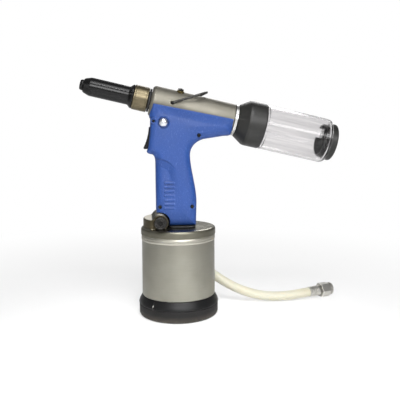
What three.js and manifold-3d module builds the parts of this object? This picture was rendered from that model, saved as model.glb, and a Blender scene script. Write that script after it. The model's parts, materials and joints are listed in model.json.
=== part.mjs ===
// Air-over-oil rivet gun: an air cylinder stands on its base, a neck rises through a pistol grip,
// and a tilted head holds the pulling jaws in front and the spent-stem bottle behind.
// Millimetres, +Z up. The origin is the centre of the base's underside, -X is the nose.
import * as THREE from 'three';
import { mergeVertices } from 'three/addons/utils/BufferGeometryUtils.js';
import Module from 'manifold-3d';

const wasm = await Module();
wasm.setup();

// ---------------------------------------------------------------- driving dimensions
const GAP = 0.3;                 // clearance between neighbouring pieces

const CYLINDER_RADIUS = 37.5;    // air cylinder tube
const CYLINDER_BORE = 35;
const CUP_RADIUS = 41;           // rubber cup at its lip
const CUP_TOP = 20.5;
const CYLINDER_TOP = 79;
const CAP_RADIUS = 38.6;         // cylinder cap
const CAP_TOP = 90;
const CAP_FLOOR = 73;            // underside of the cap, inside the tube
const BOSS_TOP = 99.5;           // air inlet block on the cap
const BOSS_RADIUS = 36;
const BOSS_FRONT = -21.5;
const BOSS_BACK = 24;
const PORT = { x: -19, z: 96.3, housing: 8.3, bore: 4.3 };
const INLET_X = -13.5;

const PLUNGER_RADIUS = 6.5;
const PISTON_STROKE = 47;

const NECK_RADIUS = 9.5;
const NECK_BORE = 6.8;

const HEAD_TILT = THREE.MathUtils.degToRad(13);
const HEAD_AXIS_HEIGHT = 212.7;  // height of the head's axis above the origin
const HEAD_REACH = 100;          // distance along that axis from the nose tip to the neck
const BARREL_RADIUS = 16;
const BARREL_BORE = 13.5;
const BARREL_FRONT = 72;
const BARREL_REAR = 158.7;
const ROD_RADIUS = 6.5;
const JAW_SPLIT = 0.5;            // each jaw's edge stands this far off the axis
const SADDLE_RADIUS = 18.6;
const HOOK_WIRE = 1.2;
const HOOK_HOLE_FLOOR = 12.6;    // how far the holes for the hook's ends stop short of the axis

const BOTTLE_RADIUS = 23.2;
const BOTTLE_END = 261;
const END_CAP_RADIUS = 19.3;
const END_CAP_END = 268.2;
const BASKET = { bore: 15.2, radius: 17.2, front: 254.5, floor: 263.6 };
const BASKET_WINDOW = { rear: 261.4, low: 3.2, high: 13 };

const GRIP_HALF = 17.6;          // half thickness of the handle
const SHELL_WALL = 2.6;
const SHELL_FOOT = 92.3;
const TRIGGER_HALF = 6.2;
const TRIGGER_PIVOT = { x: -24.9, z: 198 };
const VALVE_HEIGHT = 184;

const HOSE_RADIUS = 5;
const HOSE_END = [147.5, 27, 7.1];
const HOSE_END_TURN = THREE.MathUtils.degToRad(21);

const BIG = 32;                  // sides of large, medium and small round pieces
const MEDIUM = 20;
const SMALL = 12;
const TINY = 8;

// ---------------------------------------------------------------- finishes
const finish = (color, roughness, metalness) =>
  new THREE.MeshStandardMaterial({ color, roughness, metalness });
const anodised = () => finish(0x9b978a, 0.38, 0.9);
const brass = () => finish(0xb3a27c, 0.3, 0.95);
const steel = () => finish(0xb8bbbd, 0.3, 1);
const blackSteel = () => finish(0x1c1c1d, 0.4, 0.6);
const blackPlastic = () => finish(0x222221, 0.6, 0);
const bluePlastic = () => finish(0x2f5fb3, 0.55, 0);
const rubber = () => finish(0x1e1e1f, 0.8, 0);
const chrome = () => finish(0xdfe3e6, 0.08, 1);
const bronze = () => finish(0xa9824c, 0.4, 0.9);
const clearPlastic = () => {
  const material = finish(0xf2f6f8, 0.12, 0);
  material.transparent = true;
  material.opacity = 0.3;
  return material;
};
const hoseIvory = () => finish(0xe2dfcb, 0.5, 0);

// ---------------------------------------------------------------- shape helpers
function signedVolume(geometry) {
  const flat = geometry.index ? geometry.toNonIndexed() : geometry;
  const at = flat.attributes.position;
  const a = new THREE.Vector3();
  const b = new THREE.Vector3();
  const c = new THREE.Vector3();
  let sum = 0;
  for (let i = 0; i < at.count; i += 3) {
    a.fromBufferAttribute(at, i);
    b.fromBufferAttribute(at, i + 1);
    c.fromBufferAttribute(at, i + 2);
    sum += a.dot(b.cross(c)) / 6;
  }
  return sum;
}

// Shared vertices merged, collapsed triangles dropped, and faces turned to point out.
function welded(geometry) {
  const bare = geometry.clone();
  bare.deleteAttribute('normal');
  bare.deleteAttribute('uv');
  const merged = mergeVertices(bare, 1e-4);
  const inward = signedVolume(merged) < 0;
  const index = merged.index.array;
  const kept = [];
  for (let i = 0; i < index.length; i += 3) {
    const [a, b, c] = index.slice(i, i + 3);
    if (a !== b && b !== c && c !== a) {
      kept.push(...(inward ? [b, a, c] : [a, b, c]));
    }
  }
  merged.setIndex(kept);
  return merged;
}

function solid(geometry) {
  const clean = welded(geometry);
  const mesh = new wasm.Mesh({
    numProp: 3,
    vertProperties: new Float32Array(clean.attributes.position.array),
    triVerts: new Uint32Array(clean.index.array),
  });
  return new wasm.Manifold(mesh);
}

function fromSolid(body) {
  const mesh = body.getMesh();
  const geometry = new THREE.BufferGeometry();
  geometry.setAttribute('position', new THREE.BufferAttribute(new Float32Array(mesh.vertProperties), 3));
  geometry.setIndex(new THREE.BufferAttribute(new Uint32Array(mesh.triVerts), 1));
  geometry.computeVertexNormals();
  return geometry;
}

const joined = (...geometries) => fromSolid(geometries.map(solid).reduce((sum, next) => sum.add(next)));
const cut = (from, ...tools) =>
  fromSolid(tools.map(solid).reduce((rest, tool) => rest.subtract(tool), solid(from)));
const common = (one, other) => fromSolid(solid(one).intersect(solid(other)));

// A profile of [radius, height] points turned about the Z axis; off the axis it closes on itself.
function turned(profile, sides = MEDIUM) {
  const points = profile.map(([r, z]) => new THREE.Vector2(r, z));
  const onAxis = profile[0][0] === 0 && profile[profile.length - 1][0] === 0;
  if (!onAxis) {
    points.push(points[0].clone());
  }
  return new THREE.LatheGeometry(points, sides).rotateX(Math.PI / 2);
}

// The same about the X axis, with [radius, distance along X] points.
const turnedAlongX = (profile, sides) => turned(profile, sides).rotateY(Math.PI / 2);

// The same about the Y axis, with [radius, distance along Y] points.
const turnedAlongY = (profile, sides) => turned(profile, sides).rotateX(-Math.PI / 2);

function ring(inner, outer, low, high, sides = MEDIUM) {
  return turned([[inner, low], [outer, low], [outer, high], [inner, high]], sides);
}

function ringAlongX(inner, outer, low, high, sides = MEDIUM) {
  return turnedAlongX([[inner, low], [outer, low], [outer, high], [inner, high]], sides);
}

// A round bar between two points.
function bar(radius, from, to, sides = SMALL) {
  const start = new THREE.Vector3(...from);
  const end = new THREE.Vector3(...to);
  const along = end.clone().sub(start);
  const turn = new THREE.Quaternion().setFromUnitVectors(
    new THREE.Vector3(0, 1, 0), along.clone().normalize());
  const middle = start.add(end).multiplyScalar(0.5);
  return new THREE.CylinderGeometry(radius, radius, along.length(), sides)
    .applyQuaternion(turn)
    .translate(middle.x, middle.y, middle.z);
}

function block(low, high) {
  const size = high.map((v, i) => v - low[i]);
  return new THREE.BoxGeometry(...size).translate(...low.map((v, i) => v + size[i] / 2));
}

// A shape drawn in X and Z, extruded evenly both ways along Y, with rounded rims of radius rim.
function slab(shape, half, rim = 0, curveSegments = 4) {
  const depth = 2 * (half - rim);
  return new THREE.ExtrudeGeometry(shape, {
    depth,
    curveSegments,
    bevelEnabled: rim > 0,
    bevelThickness: rim,
    bevelSize: rim,
    bevelOffset: -rim,
    bevelSegments: 2,
  }).translate(0, 0, -depth / 2).rotateX(Math.PI / 2);
}

// A round wire or tube swept along a curve.
function swept(curve, radius, sides, steps) {
  const section = new THREE.Shape().absarc(0, 0, radius, 0, 2 * Math.PI);
  const points = section.getPoints(sides).slice(0, sides);
  const round = new THREE.Shape(points);
  return new THREE.ExtrudeGeometry(round, { extrudePath: curve, steps, bevelEnabled: false });
}

class Helix extends THREE.Curve {
  constructor(radius, start, end, turns) {
    super();
    Object.assign(this, { radius, start, end, turns });
  }

  getPoint(t) {
    const angle = 2 * Math.PI * this.turns * t;
    const along = THREE.MathUtils.lerp(this.start, this.end, t);
    return new THREE.Vector3(along, this.radius * Math.cos(angle), this.radius * Math.sin(angle));
  }
}

const springAlongX = (radius, wire, start, end, turns) =>
  swept(new Helix(radius, start, end, turns), wire, 4, Math.round(turns * 8));

// Each point of a closed outline moved inwards by a wall's thickness.
function inset(points, wall) {
  const n = points.length;
  const turnSign = THREE.ShapeUtils.isClockWise(points) ? -1 : 1;
  return points.map((p, i) => {
    const before = p.clone().sub(points[(i + n - 1) % n]).normalize();
    const after = points[(i + 1) % n].clone().sub(p).normalize();
    const normalBefore = new THREE.Vector2(-before.y, before.x);
    const normalAfter = new THREE.Vector2(-after.y, after.x);
    const mean = normalBefore.clone().add(normalAfter).normalize();
    const reach = turnSign * wall / Math.max(mean.dot(normalAfter), 0.4);
    return p.clone().addScaledVector(mean, reach);
  });
}

const tool = new THREE.Group();

function piece(parent, name, geometry, material) {
  const mesh = new THREE.Mesh(welded(geometry), material);
  mesh.name = name;
  parent.add(mesh);
  return mesh;
}

// ---------------------------------------------------------------- head frame
// Inside the head group X runs from the nose tip backwards and Z is square to the barrel.
const head = new THREE.Group();
head.position.set(-HEAD_REACH * Math.cos(HEAD_TILT), 0, HEAD_AXIS_HEIGHT + HEAD_REACH * Math.sin(HEAD_TILT));
head.rotation.y = HEAD_TILT;
head.updateMatrix();
const onHead = (geometry) => geometry.applyMatrix4(head.matrix);

// ---------------------------------------------------------------- air cylinder and base
function powerUnit(group) {
  piece(group, 'base_cup', turned([
    [0, 0], [38, 0], [39.7, 0.7], [40.5, 2.4], [40.6, 11.3], [CUP_RADIUS, 12.9],
    [40.4, 15], [38.6, 18.4], [CYLINDER_RADIUS, CUP_TOP], [36.8, CUP_TOP], [36.8, 5], [0, 5],
  ], BIG), rubber());

  const spigot = CYLINDER_RADIUS - 1;
  piece(group, 'air_cylinder', turned([
    [CYLINDER_BORE, 5.3], [spigot, 5.3], [spigot, CUP_TOP + GAP], [CYLINDER_RADIUS, CUP_TOP + GAP],
    [CYLINDER_RADIUS, 78], [CYLINDER_RADIUS + 0.4, 78.5], [CYLINDER_RADIUS + 0.4, CYLINDER_TOP],
    [CYLINDER_BORE, CYLINDER_TOP],
  ], BIG), anodised());

  const loose = CYLINDER_BORE - GAP;
  piece(group, 'end_plate', turned([
    [0, 5.3], [loose, 5.3], [loose, 8], [32.4, 8], [32.4, 10.6], [loose, 10.6], [loose, 13.3], [0, 13.3],
  ]), steel());
  piece(group, 'end_plate_seal', ring(32.7, loose, 8.3, 10.3), rubber());
  piece(group, 'piston_bumper', ring(10, 16, 13.6, 15.3), rubber());
}

// The piston waits at the bottom of its stroke, which ends just below the cap.
function airPiston(group) {
  const top = CAP_FLOOR - GAP - PISTON_STROKE;
  const rim = CYLINDER_BORE - 0.4;
  piece(group, 'air_piston', turned([
    [8.5, 15.7], [rim, 15.7], [rim, 19], [32.2, 19], [32.2, 22.4], [rim, 22.4], [rim, top],
    [4.3, top], [4.3, 19.9], [8.5, 19.9],
  ]), anodised());
  piece(group, 'air_piston_seal', ring(32.5, CYLINDER_BORE - GAP, 19.3, 22.1), rubber());
  piece(group, 'plunger', turned([
    [0, 16.2], [4, 16.2], [4, top + GAP], [PLUNGER_RADIUS, top + GAP], [PLUNGER_RADIUS, 99],
    [5.5, 100], [0, 100],
  ]), steel());
  const nut = new THREE.CylinderGeometry(7.5, 7.5, 3.4, 6).rotateX(Math.PI / 2).translate(0, 0, 17.9);
  piece(group, 'plunger_nut', cut(nut, bar(4.3, [0, 0, 10], [0, 0, 30])), steel());
}

// The cap carries the inlet block: a low round-fronted shelf with a round port housing across it.
function cylinderCap(group) {
  const spigot = CYLINDER_BORE - GAP;
  const rest = CYLINDER_TOP + GAP;
  const disc = turned([
    [NECK_RADIUS, CAP_FLOOR], [spigot, CAP_FLOOR], [spigot, rest], [CAP_RADIUS - 0.6, rest],
    [CAP_RADIUS, rest + 0.6], [CAP_RADIUS, 88], [CAP_RADIUS - 0.6, 89.4], [CAP_RADIUS - 2, CAP_TOP],
    [NECK_RADIUS, CAP_TOP],
  ], BIG);
  const shelfDisc = bar(BOSS_RADIUS, [0, 0, CAP_TOP - 1], [0, 0, BOSS_TOP], BIG);
  const shelf = common(shelfDisc, block([-50, BOSS_FRONT, CAP_TOP - 2], [PORT.x, BOSS_BACK, BOSS_TOP + 1]));
  const housing = bar(PORT.housing, [PORT.x, BOSS_FRONT, PORT.z], [PORT.x, BOSS_BACK, PORT.z], MEDIUM);
  const inletBlock = block([PORT.x, 12, CAP_TOP - 1], [-6, BOSS_BACK, PORT.z + 6.2]);
  const plugBore = bar(PORT.bore, [PORT.x, -30, PORT.z], [PORT.x, 8, PORT.z]);
  const inletBore = bar(PORT.bore, [INLET_X, 30, PORT.z], [INLET_X, 13.5, PORT.z]);
  const body = joined(disc, shelf, housing, inletBlock);
  const boreForNeck = bar(NECK_RADIUS + 0.001, [0, 0, 70], [0, 0, 89.5], MEDIUM);
  piece(group, 'cylinder_cap', cut(body, plugBore, inletBore, boreForNeck), anodised());

  const inBore = NECK_RADIUS - GAP;
  piece(group, 'plunger_gland', ring(NECK_BORE, inBore, 73.3, 81), bronze());
  piece(group, 'plunger_seal', ring(NECK_BORE, inBore, 81.3, 84.2), rubber());

  piece(group, 'port_plug', turnedAlongY([
    [0, -25.4], [5.6, -25.4], [6.3, -24.7], [6.3, BOSS_FRONT - GAP], [4, BOSS_FRONT - GAP],
    [4, -10], [0, -10],
  ]).translate(PORT.x, 0, PORT.z), blackSteel());
}

function footGasket(group) {
  const outline = new THREE.Shape();
  outline.absarc(-5.5, -12.5, 4.5, Math.PI, 1.5 * Math.PI);
  outline.absarc(12.5, -12.5, 4.5, 1.5 * Math.PI, 2 * Math.PI);
  outline.absarc(12.5, 12.5, 4.5, 0, 0.5 * Math.PI);
  outline.lineTo(-5.4, 17);
  outline.lineTo(-5.4, 11.6);
  outline.lineTo(-10, 11.6);
  const plate = new THREE.ExtrudeGeometry(outline, { depth: 1.7, bevelEnabled: false, curveSegments: 4 })
    .translate(0, 0, CAP_TOP + GAP);
  piece(group, 'foot_gasket', cut(plate, bar(NECK_RADIUS + GAP, [0, 0, 80], [0, 0, 100], MEDIUM)), rubber());
}

// ---------------------------------------------------------------- head
const BLEED_ANGLE = THREE.MathUtils.degToRad(20);
const BLEED_PLACE = 99.6;
const BLEED_BORE = 2.4;
const BLEED_SEAT = 15.3;         // how far the washer's seat stands off the barrel's axis
const WASHER_RADIUS = 3.6;
const WASHER_TOP = 17.6;
const HOOK_PIVOT = { x: 93.5, z: 1.8 };

// Turned about the barrel and moved along it to the bleed screw's place.
const atBleed = (geometry) => geometry.rotateX(BLEED_ANGLE).translate(BLEED_PLACE, 0, 0);

function headBody() {
  const barrel = turnedAlongX([
    [0, BARREL_FRONT], [BARREL_RADIUS - 1.8, BARREL_FRONT], [BARREL_RADIUS, BARREL_FRONT + 2.6],
    [BARREL_RADIUS, BARREL_REAR], [0, BARREL_REAR],
  ], BIG);
  const neck = turned([
    [0, 84.5], [NECK_RADIUS - GAP, 84.5], [NECK_RADIUS - GAP, SHELL_FOOT - 1],
    [NECK_RADIUS, SHELL_FOOT - 1], [NECK_RADIUS, 206], [0, 206],
  ]);
  const chamber = turnedAlongX([
    [0, 60], [9.3, 60], [9.3, 88], [ROD_RADIUS + GAP, 88], [ROD_RADIUS + GAP, 98], [BARREL_BORE, 98],
    [BARREL_BORE, 170], [0, 170],
  ], BIG);
  const oilBore = turned([[0, 80], [NECK_BORE, 80], [NECK_BORE, 165], [2.5, 168], [2.5, 203], [0, 203]]);
  const bleedHole = atBleed(bar(BLEED_BORE, [0, 0, 10], [0, 0, 20], TINY));
  const bleedSeat = atBleed(bar(WASHER_RADIUS + 0.5, [0, 0, BLEED_SEAT], [0, 0, 20]));
  const hookAt = (y) => [HOOK_PIVOT.x, y, HOOK_PIVOT.z];
  const hookHoles = [-1, 1].map((side) =>
    bar(HOOK_WIRE + GAP, hookAt(side * HOOK_HOLE_FLOOR), hookAt(side * 20), TINY));
  const body = joined(onHead(barrel), neck);
  piece(tool, 'head_body', cut(
    body, onHead(chamber), oilBore, onHead(bleedHole), onHead(bleedSeat), ...hookHoles.map(onHead),
  ), anodised());
}

function pullingGear(group) {
  piece(group, 'draw_piston', turnedAlongX([
    [2.8, 56.3], [4.6, 56.3], [4.6, 68.3], [ROD_RADIUS, 68.3], [ROD_RADIUS, 106], [BARREL_BORE - GAP, 106],
    [BARREL_BORE - GAP, 108.5], [11, 108.5], [11, 111.5], [BARREL_BORE - GAP, 111.5],
    [BARREL_BORE - GAP, 114], [6, 114], [6, 166], [2.8, 166],
  ]), steel());
  piece(group, 'draw_piston_seal', ringAlongX(11.3, BARREL_BORE - 0.25, 108.8, 111.2), rubber());
  piece(group, 'rod_seal', ringAlongX(ROD_RADIUS + GAP, 9, 84.5, 87.7), rubber());
  piece(group, 'return_spring', springAlongX(9.8, 1.1, 116, 147, 5), steel());
  piece(group, 'rear_plug', turnedAlongX([
    [6.3, 149], [BARREL_BORE - GAP, 149], [BARREL_BORE - GAP, 159], [16.2, 159], [16.2, 162],
    [10, 162], [10, 171], [6.3, 171],
  ]), steel());
  piece(group, 'jaw_case', turnedAlongX([
    [3.3, 15], [6, 15], [6.7, 15.7], [6.7, 68], [4.9, 68], [4.9, 56], [5.4, 56], [5.4, 29], [3.3, 16],
  ]), blackSteel());
  jaws(group);
  piece(group, 'jaw_pusher', turnedAlongX([
    [2, 28.4], [4.2, 28.4], [4.7, 29.2], [4.7, 32], [3.5, 32], [3.5, 41], [2, 41],
  ], SMALL), steel());
  piece(group, 'jaw_spring', springAlongX(4.4, 0.45, 33, 55, 6), steel());
}

// Three equal wedges cut from one cone that fits the taper of the jaw case.
function jaws(group) {
  const taper = (5.4 - 3.3) / 13;
  const outerAt = (s) => 3.3 + taper * (s - 16) - GAP;
  const cone = turnedAlongX([[1.6, 17], [outerAt(17), 17], [outerAt(28), 28], [1.6, 28]]);
  for (let i = 0; i < 3; i += 1) {
    const wedge = new THREE.Shape();
    wedge.moveTo(JAW_SPLIT, 0);
    wedge.lineTo(JAW_SPLIT + 4, 4 * Math.sqrt(3));
    wedge.lineTo(JAW_SPLIT + 12, 0);
    wedge.lineTo(JAW_SPLIT + 4, -4 * Math.sqrt(3));
    const sector = new THREE.ExtrudeGeometry(wedge, { depth: 14, bevelEnabled: false })
      .rotateY(Math.PI / 2)
      .translate(15.5, 0, 0)
      .rotateX(i * 2 * Math.PI / 3);
    piece(group, `jaw_${i + 1}`, common(cone, sector), steel());
  }
}

function nose(group) {
  piece(group, 'nosepiece', turnedAlongX([
    [1.9, -0.3], [4.6, -0.3], [5.2, 0.4], [6.1, 3], [4.6, 3], [4.6, 12], [2.9, 13.4], [2.9, 16.6],
    [1.9, 16.6],
  ]), blackSteel());
  piece(group, 'nose_housing', turnedAlongX([
    [4.9, 3.3], [6.6, 3.3], [7.4, 4.4], [9.4, 10], [9.4, 50], [10.6, 50.8], [12.3, 52.6], [12.3, 53.9],
    [9, 53.9], [9, 84.2], [7, 84.2], [7, 12], [4.9, 12],
  ]), blackSteel());
  piece(group, 'head_nut', turnedAlongX([
    [9.3, 54.2], [12.2, 54.2], [12.7, 54.8], [12.7, 68.6], [12.2, 69.2], [9.3, 69.2],
  ]), brass());
  piece(group, 'head_seal', ringAlongX(9.3, 12, 69.5, 71.7), rubber());
}

function headTrim(group) {
  const screw = turned([
    [0, 14.2], [2.1, 14.2], [2.1, WASHER_TOP + GAP], [3, WASHER_TOP + GAP], [3, 18.9], [2.6, 19.3], [0, 19.3],
  ], TINY);
  piece(group, 'bleed_screw', atBleed(screw), blackSteel());
  const washer = ring(BLEED_BORE, WASHER_RADIUS, BLEED_SEAT + GAP, WASHER_TOP, SMALL);
  piece(group, 'bleed_washer', atBleed(washer), brass());

  const side = [
    [HOOK_PIVOT.x, 13.2, HOOK_PIVOT.z], [HOOK_PIVOT.x, 16.4, HOOK_PIVOT.z],
    [HOOK_PIVOT.x + 1, 17.6, HOOK_PIVOT.z + 0.6], [HOOK_PIVOT.x + 4, 17.8, HOOK_PIVOT.z + 2.3],
    [108, 17.8, 10], [118.5, 17, 16], [122.5, 13, 18.6], [125.4, 6.5, 20.6],
  ].map((p) => new THREE.Vector3(...p));
  const otherSide = side.map((p) => new THREE.Vector3(p.x, -p.y, p.z)).reverse();
  const wire = new THREE.CatmullRomCurve3([...side, new THREE.Vector3(126.3, 0, 21.1), ...otherSide]);
  piece(group, 'hook', swept(wire, HOOK_WIRE, 6, 30), blackSteel());
}

function collector(group) {
  piece(group, 'collector_collar', turnedAlongX([
    [10.3, 162.3], [16.1, 162.3], [16.8, 163], [23.1, 173], [23.5, 175], [23.5, 190.2], [22.7, 191],
    [21.5, 191], [21.5, 178], [10.3, 178],
  ], BIG), blackPlastic());
  piece(group, 'bottle_seal', ringAlongX(17, 21.2, 178.3, 180), rubber());
  const inner = BOTTLE_RADIUS - 2;
  piece(group, 'bottle', turnedAlongX([
    [19.2, 180.3], [21.2, 180.3], [21.2, 191.4], [22.6, 191.4], [BOTTLE_RADIUS, 192],
    [BOTTLE_RADIUS, BOTTLE_END - 2.4], [BOTTLE_RADIUS - 1.4, BOTTLE_END], [17.6, BOTTLE_END],
    [17.6, BOTTLE_END - 2], [20.6, BOTTLE_END - 2], [inner, BOTTLE_END - 3.4], [inner, 193.6], [19.2, 191.6],
  ], BIG), clearPlastic());

  const { bore, radius, front, floor } = BASKET;
  const cup = turnedAlongX([
    [0, floor], [bore, floor], [bore, front], [radius, front], [radius, BOTTLE_END + GAP],
    [END_CAP_RADIUS, BOTTLE_END + GAP], [END_CAP_RADIUS, END_CAP_END - 1], [END_CAP_RADIUS - 1, END_CAP_END],
    [0, END_CAP_END],
  ], MEDIUM);
  const { rear, low, high } = BASKET_WINDOW;
  const window = block([front - 4, -radius - 2, low], [rear, radius + 2, high]);
  piece(group, 'end_cap', cut(cup, window), blackPlastic());
}

// ---------------------------------------------------------------- handle
function handleOutline() {
  const outline = new THREE.Shape();
  outline.moveTo(-25.1, 215.3);
  outline.lineTo(-30.2, 203.9);
  outline.lineTo(-31.8, 167);
  outline.lineTo(-25.6, 164.4);
  outline.quadraticCurveTo(-22.4, 162.4, -22.4, 155);
  outline.lineTo(-22.2, SHELL_FOOT);
  outline.lineTo(17.4, SHELL_FOOT);
  outline.lineTo(18.6, 112);
  outline.bezierCurveTo(20.4, 130, 13.4, 146, 12.6, 163);
  outline.bezierCurveTo(12.6, 172, 19, 177.4, 27, 179);
  outline.lineTo(53.2, 182.9);
  outline.lineTo(56.5, 199.3);
  return outline;
}

// What the finger recess takes off the front, ahead of the trigger's cheeks.
function fingerRecess() {
  const recess = new THREE.Shape();
  recess.moveTo(-45, 201.6);
  recess.lineTo(-27.7, 201.6);
  recess.lineTo(-27.4, 192);
  recess.quadraticCurveTo(-28.2, 180, -31.7, 168.4);
  recess.lineTo(-45, 168.4);
  return slab(recess, 30);
}

const HANDLE_SCREWS = [
  { name: 'handle_screw_upper', x: 20.5, z: 183.2, boss: 3.2 },
  { name: 'handle_screw_front', x: -19.2, z: 111.7, boss: 2.5 },
  { name: 'handle_screw_rear', x: 13.2, z: 111.6, boss: 3.2 },
];
const BUTTON = { x: -15.1, z: 196.3, radius: 4.7 };
const PIN_RADIUS = 1.2;

const acrossPivot = (radius, half) =>
  bar(radius, [TRIGGER_PIVOT.x, -half, TRIGGER_PIVOT.z], [TRIGGER_PIVOT.x, half, TRIGGER_PIVOT.z], TINY);

function handleShells(group) {
  const outline = handleOutline();
  const grip = slab(outline, GRIP_HALF, 4);
  const saddleRound = onHead(turnedAlongX([
    [0, 75], [SADDLE_RADIUS, 75], [SADDLE_RADIUS, 140], [17.2, 158], [0, 158],
  ], BIG));
  const underEdge = new THREE.Shape();
  underEdge.moveTo(-25.1, 215.3);
  underEdge.lineTo(-45, 170);
  underEdge.lineTo(53.2, 160);
  underEdge.lineTo(56.5, 199.3);
  const saddle = common(saddleRound, slab(underEdge, 30));
  const hollow = slab(new THREE.Shape(inset(outline.getPoints(4), SHELL_WALL)), GRIP_HALF - 3);
  const bosses = HANDLE_SCREWS.map(({ x, z, boss }) => bar(boss, [x, -16, z], [x, 16, z], TINY));
  const whole = joined(cut(joined(grip, saddle), hollow), ...bosses);

  const barrelRoom = onHead(turnedAlongX([
    [0, 60], [BARREL_RADIUS + GAP, 60], [BARREL_RADIUS + GAP, 170], [0, 170],
  ], BIG));
  const neckRoom = bar(NECK_RADIUS + 0.4, [0, 0, 80], [0, 0, 208], MEDIUM);
  const triggerSlot = block([-45, -TRIGGER_HALF - 0.5, 168.6], [-14, TRIGGER_HALF + 0.5, 203]);
  const archRadius = PORT.housing + 1.4;
  const arch = bar(archRadius, [PORT.x, -30, PORT.z], [PORT.x, 30, PORT.z], MEDIUM);
  const underArch = block([PORT.x - archRadius, -30, 80], [PORT.x + archRadius, 30, PORT.z]);
  const inletRoom = block([-30, 0, 80], [-4.8, 30, PORT.z + 7.2]);
  const pinHole = acrossPivot(PIN_RADIUS + GAP, 30);
  const buttonHole = bar(BUTTON.radius + GAP, [BUTTON.x, -30, BUTTON.z], [BUTTON.x, -8, BUTTON.z]);
  const screwHoles = HANDLE_SCREWS.flatMap(({ x, z }) => [
    bar(1.5, [x, -30, z], [x, 13, z], TINY),
    bar(2.1, [x, -30, z], [x, -15.4, z], TINY),
  ]);
  const body = cut(
    whole, barrelRoom, neckRoom, triggerSlot, fingerRecess(), arch, underArch, inletRoom,
    pinHole, buttonHole, ...screwHoles,
  );
  const partingGap = GAP / 2;
  const halves = { handle_left: [-60, -partingGap], handle_right: [partingGap, 60] };
  for (const [name, [low, high]] of Object.entries(halves)) {
    piece(group, name, common(body, block([-100, low, 50], [100, high, 260])), bluePlastic());
  }

  for (const { name, x, z } of HANDLE_SCREWS) {
    piece(group, name, turnedAlongY([
      [0, -17.3], [1.8, -17.3], [1.8, -15.7], [1.2, -15.7], [1.2, 12], [0, 12],
    ], TINY).translate(x, 0, z), blackSteel());
  }
}

function triggerGear(group) {
  const outline = new THREE.Shape();
  outline.absarc(TRIGGER_PIVOT.x, TRIGGER_PIVOT.z, 2.9, 0, Math.PI);
  outline.lineTo(-27.3, 192.4);
  outline.lineTo(-29, 192.2);
  outline.quadraticCurveTo(-29.6, 181, -34.3, 171.6);
  outline.quadraticCurveTo(-35.1, 170, -33.6, 169.6);
  outline.lineTo(-30.8, 169.9);
  outline.quadraticCurveTo(-25, 180, -24, 188);
  const body = slab(outline, TRIGGER_HALF, 0.8, 6);
  piece(group, 'trigger', cut(body, acrossPivot(PIN_RADIUS + GAP, 10)), blackPlastic());
  piece(group, 'trigger_pin', acrossPivot(PIN_RADIUS, 17), steel());

  const atValve = (geometry) => geometry.translate(0, 0, VALVE_HEIGHT);
  piece(group, 'valve_body', atValve(ringAlongX(1.6, 5, -17.5, -10.2, SMALL)), brass());
  piece(group, 'valve_stem', atValve(turnedAlongX([
    [0, -23.4], [2.2, -23.4], [2.2, -22.2], [1.3, -22.2], [1.3, -12.6], [0, -12.6],
  ], TINY)), steel());
  piece(group, 'valve_spring', atValve(springAlongX(1.95, 0.3, -21.5, -18.2, 3)), steel());
  piece(group, 'air_tube', ring(1.2, 2.2, 104.4, 178.7, TINY).translate(-13.6, 0, 0), blackPlastic());

  const dome = [];
  for (let i = 0; i <= 5; i += 1) {
    const angle = (i / 5) * Math.PI / 2;
    dome.push([BUTTON.radius * Math.sin(angle), -17.6 - 3.6 * Math.cos(angle)]);
  }
  dome[0][0] = 0;
  piece(group, 'suction_button', turnedAlongY([
    ...dome, [BUTTON.radius, -13], [2.5, -13], [2.5, -9], [0, -9],
  ], SMALL).translate(BUTTON.x, 0, BUTTON.z), chrome());
}

// ---------------------------------------------------------------- hose
const OUTLET = new THREE.Vector3(0.55, 0, -0.835).normalize();
const ELBOW = new THREE.Vector3(INLET_X, 46.5, PORT.z);
const fromElbow = (distance) => ELBOW.clone().addScaledVector(OUTLET, distance);

function hoseSet(group) {
  const elbow = joined(
    bar(4, [INLET_X, 14, PORT.z], [INLET_X, BOSS_BACK + GAP, PORT.z]),
    bar(5.6, [INLET_X, BOSS_BACK + GAP, PORT.z], [INLET_X, 30, PORT.z], 6),
    bar(4.2, [INLET_X, 29, PORT.z], ELBOW.toArray()),
    new THREE.SphereGeometry(4.8, 12, 8).translate(...ELBOW.toArray()),
    bar(4.2, ELBOW.toArray(), fromElbow(8).toArray()),
  );
  piece(group, 'inlet_elbow', elbow, steel());
  piece(group, 'inlet_ferrule', bar(5.6, fromElbow(8.3).toArray(), fromElbow(20.3).toArray()), steel());

  const freeRoute = [
    [10.9, 46.6, 59], [17.3, 45.7, 50.4], [24.5, 43.4, 42.6], [32.4, 40, 35.4], [40.9, 36.3, 28.7],
    [50, 32.6, 22.8], [59.5, 29.2, 17.6], [69.7, 26.4, 13.1], [80.3, 24, 9.6], [91.3, 22.2, 7.2],
    [102.6, 21.1, 5.9], [114, 20.8, 5.6], [125.5, 21.4, 6], [136.7, 23.3, 6.8], HOSE_END,
  ].map((p) => new THREE.Vector3(...p));
  const route = [fromElbow(20.6), fromElbow(27), fromElbow(34), ...freeRoute];
  piece(group, 'hose', swept(new THREE.CatmullRomCurve3(route), HOSE_RADIUS, 10, 16), hoseIvory());

  const fitting = new THREE.Group();
  fitting.position.set(...HOSE_END);
  fitting.rotation.z = HOSE_END_TURN;
  group.add(fitting);
  piece(fitting, 'hose_ferrule', turnedAlongX([
    [0, GAP], [5.4, GAP], [5.4, 14.6], [4.4, 15.2], [0, 15.2],
  ], SMALL), steel());
  const nutLength = 15.5;
  const hex = new THREE.CylinderGeometry(8.1, 8.1, nutLength, 6).rotateZ(Math.PI / 2).rotateX(Math.PI / 6)
    .translate(15.5 + nutLength / 2, 0, 0);
  piece(fitting, 'hose_nut', cut(hex, bar(4.2, [20, 0, 0], [40, 0, 0])), steel());
}

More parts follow.
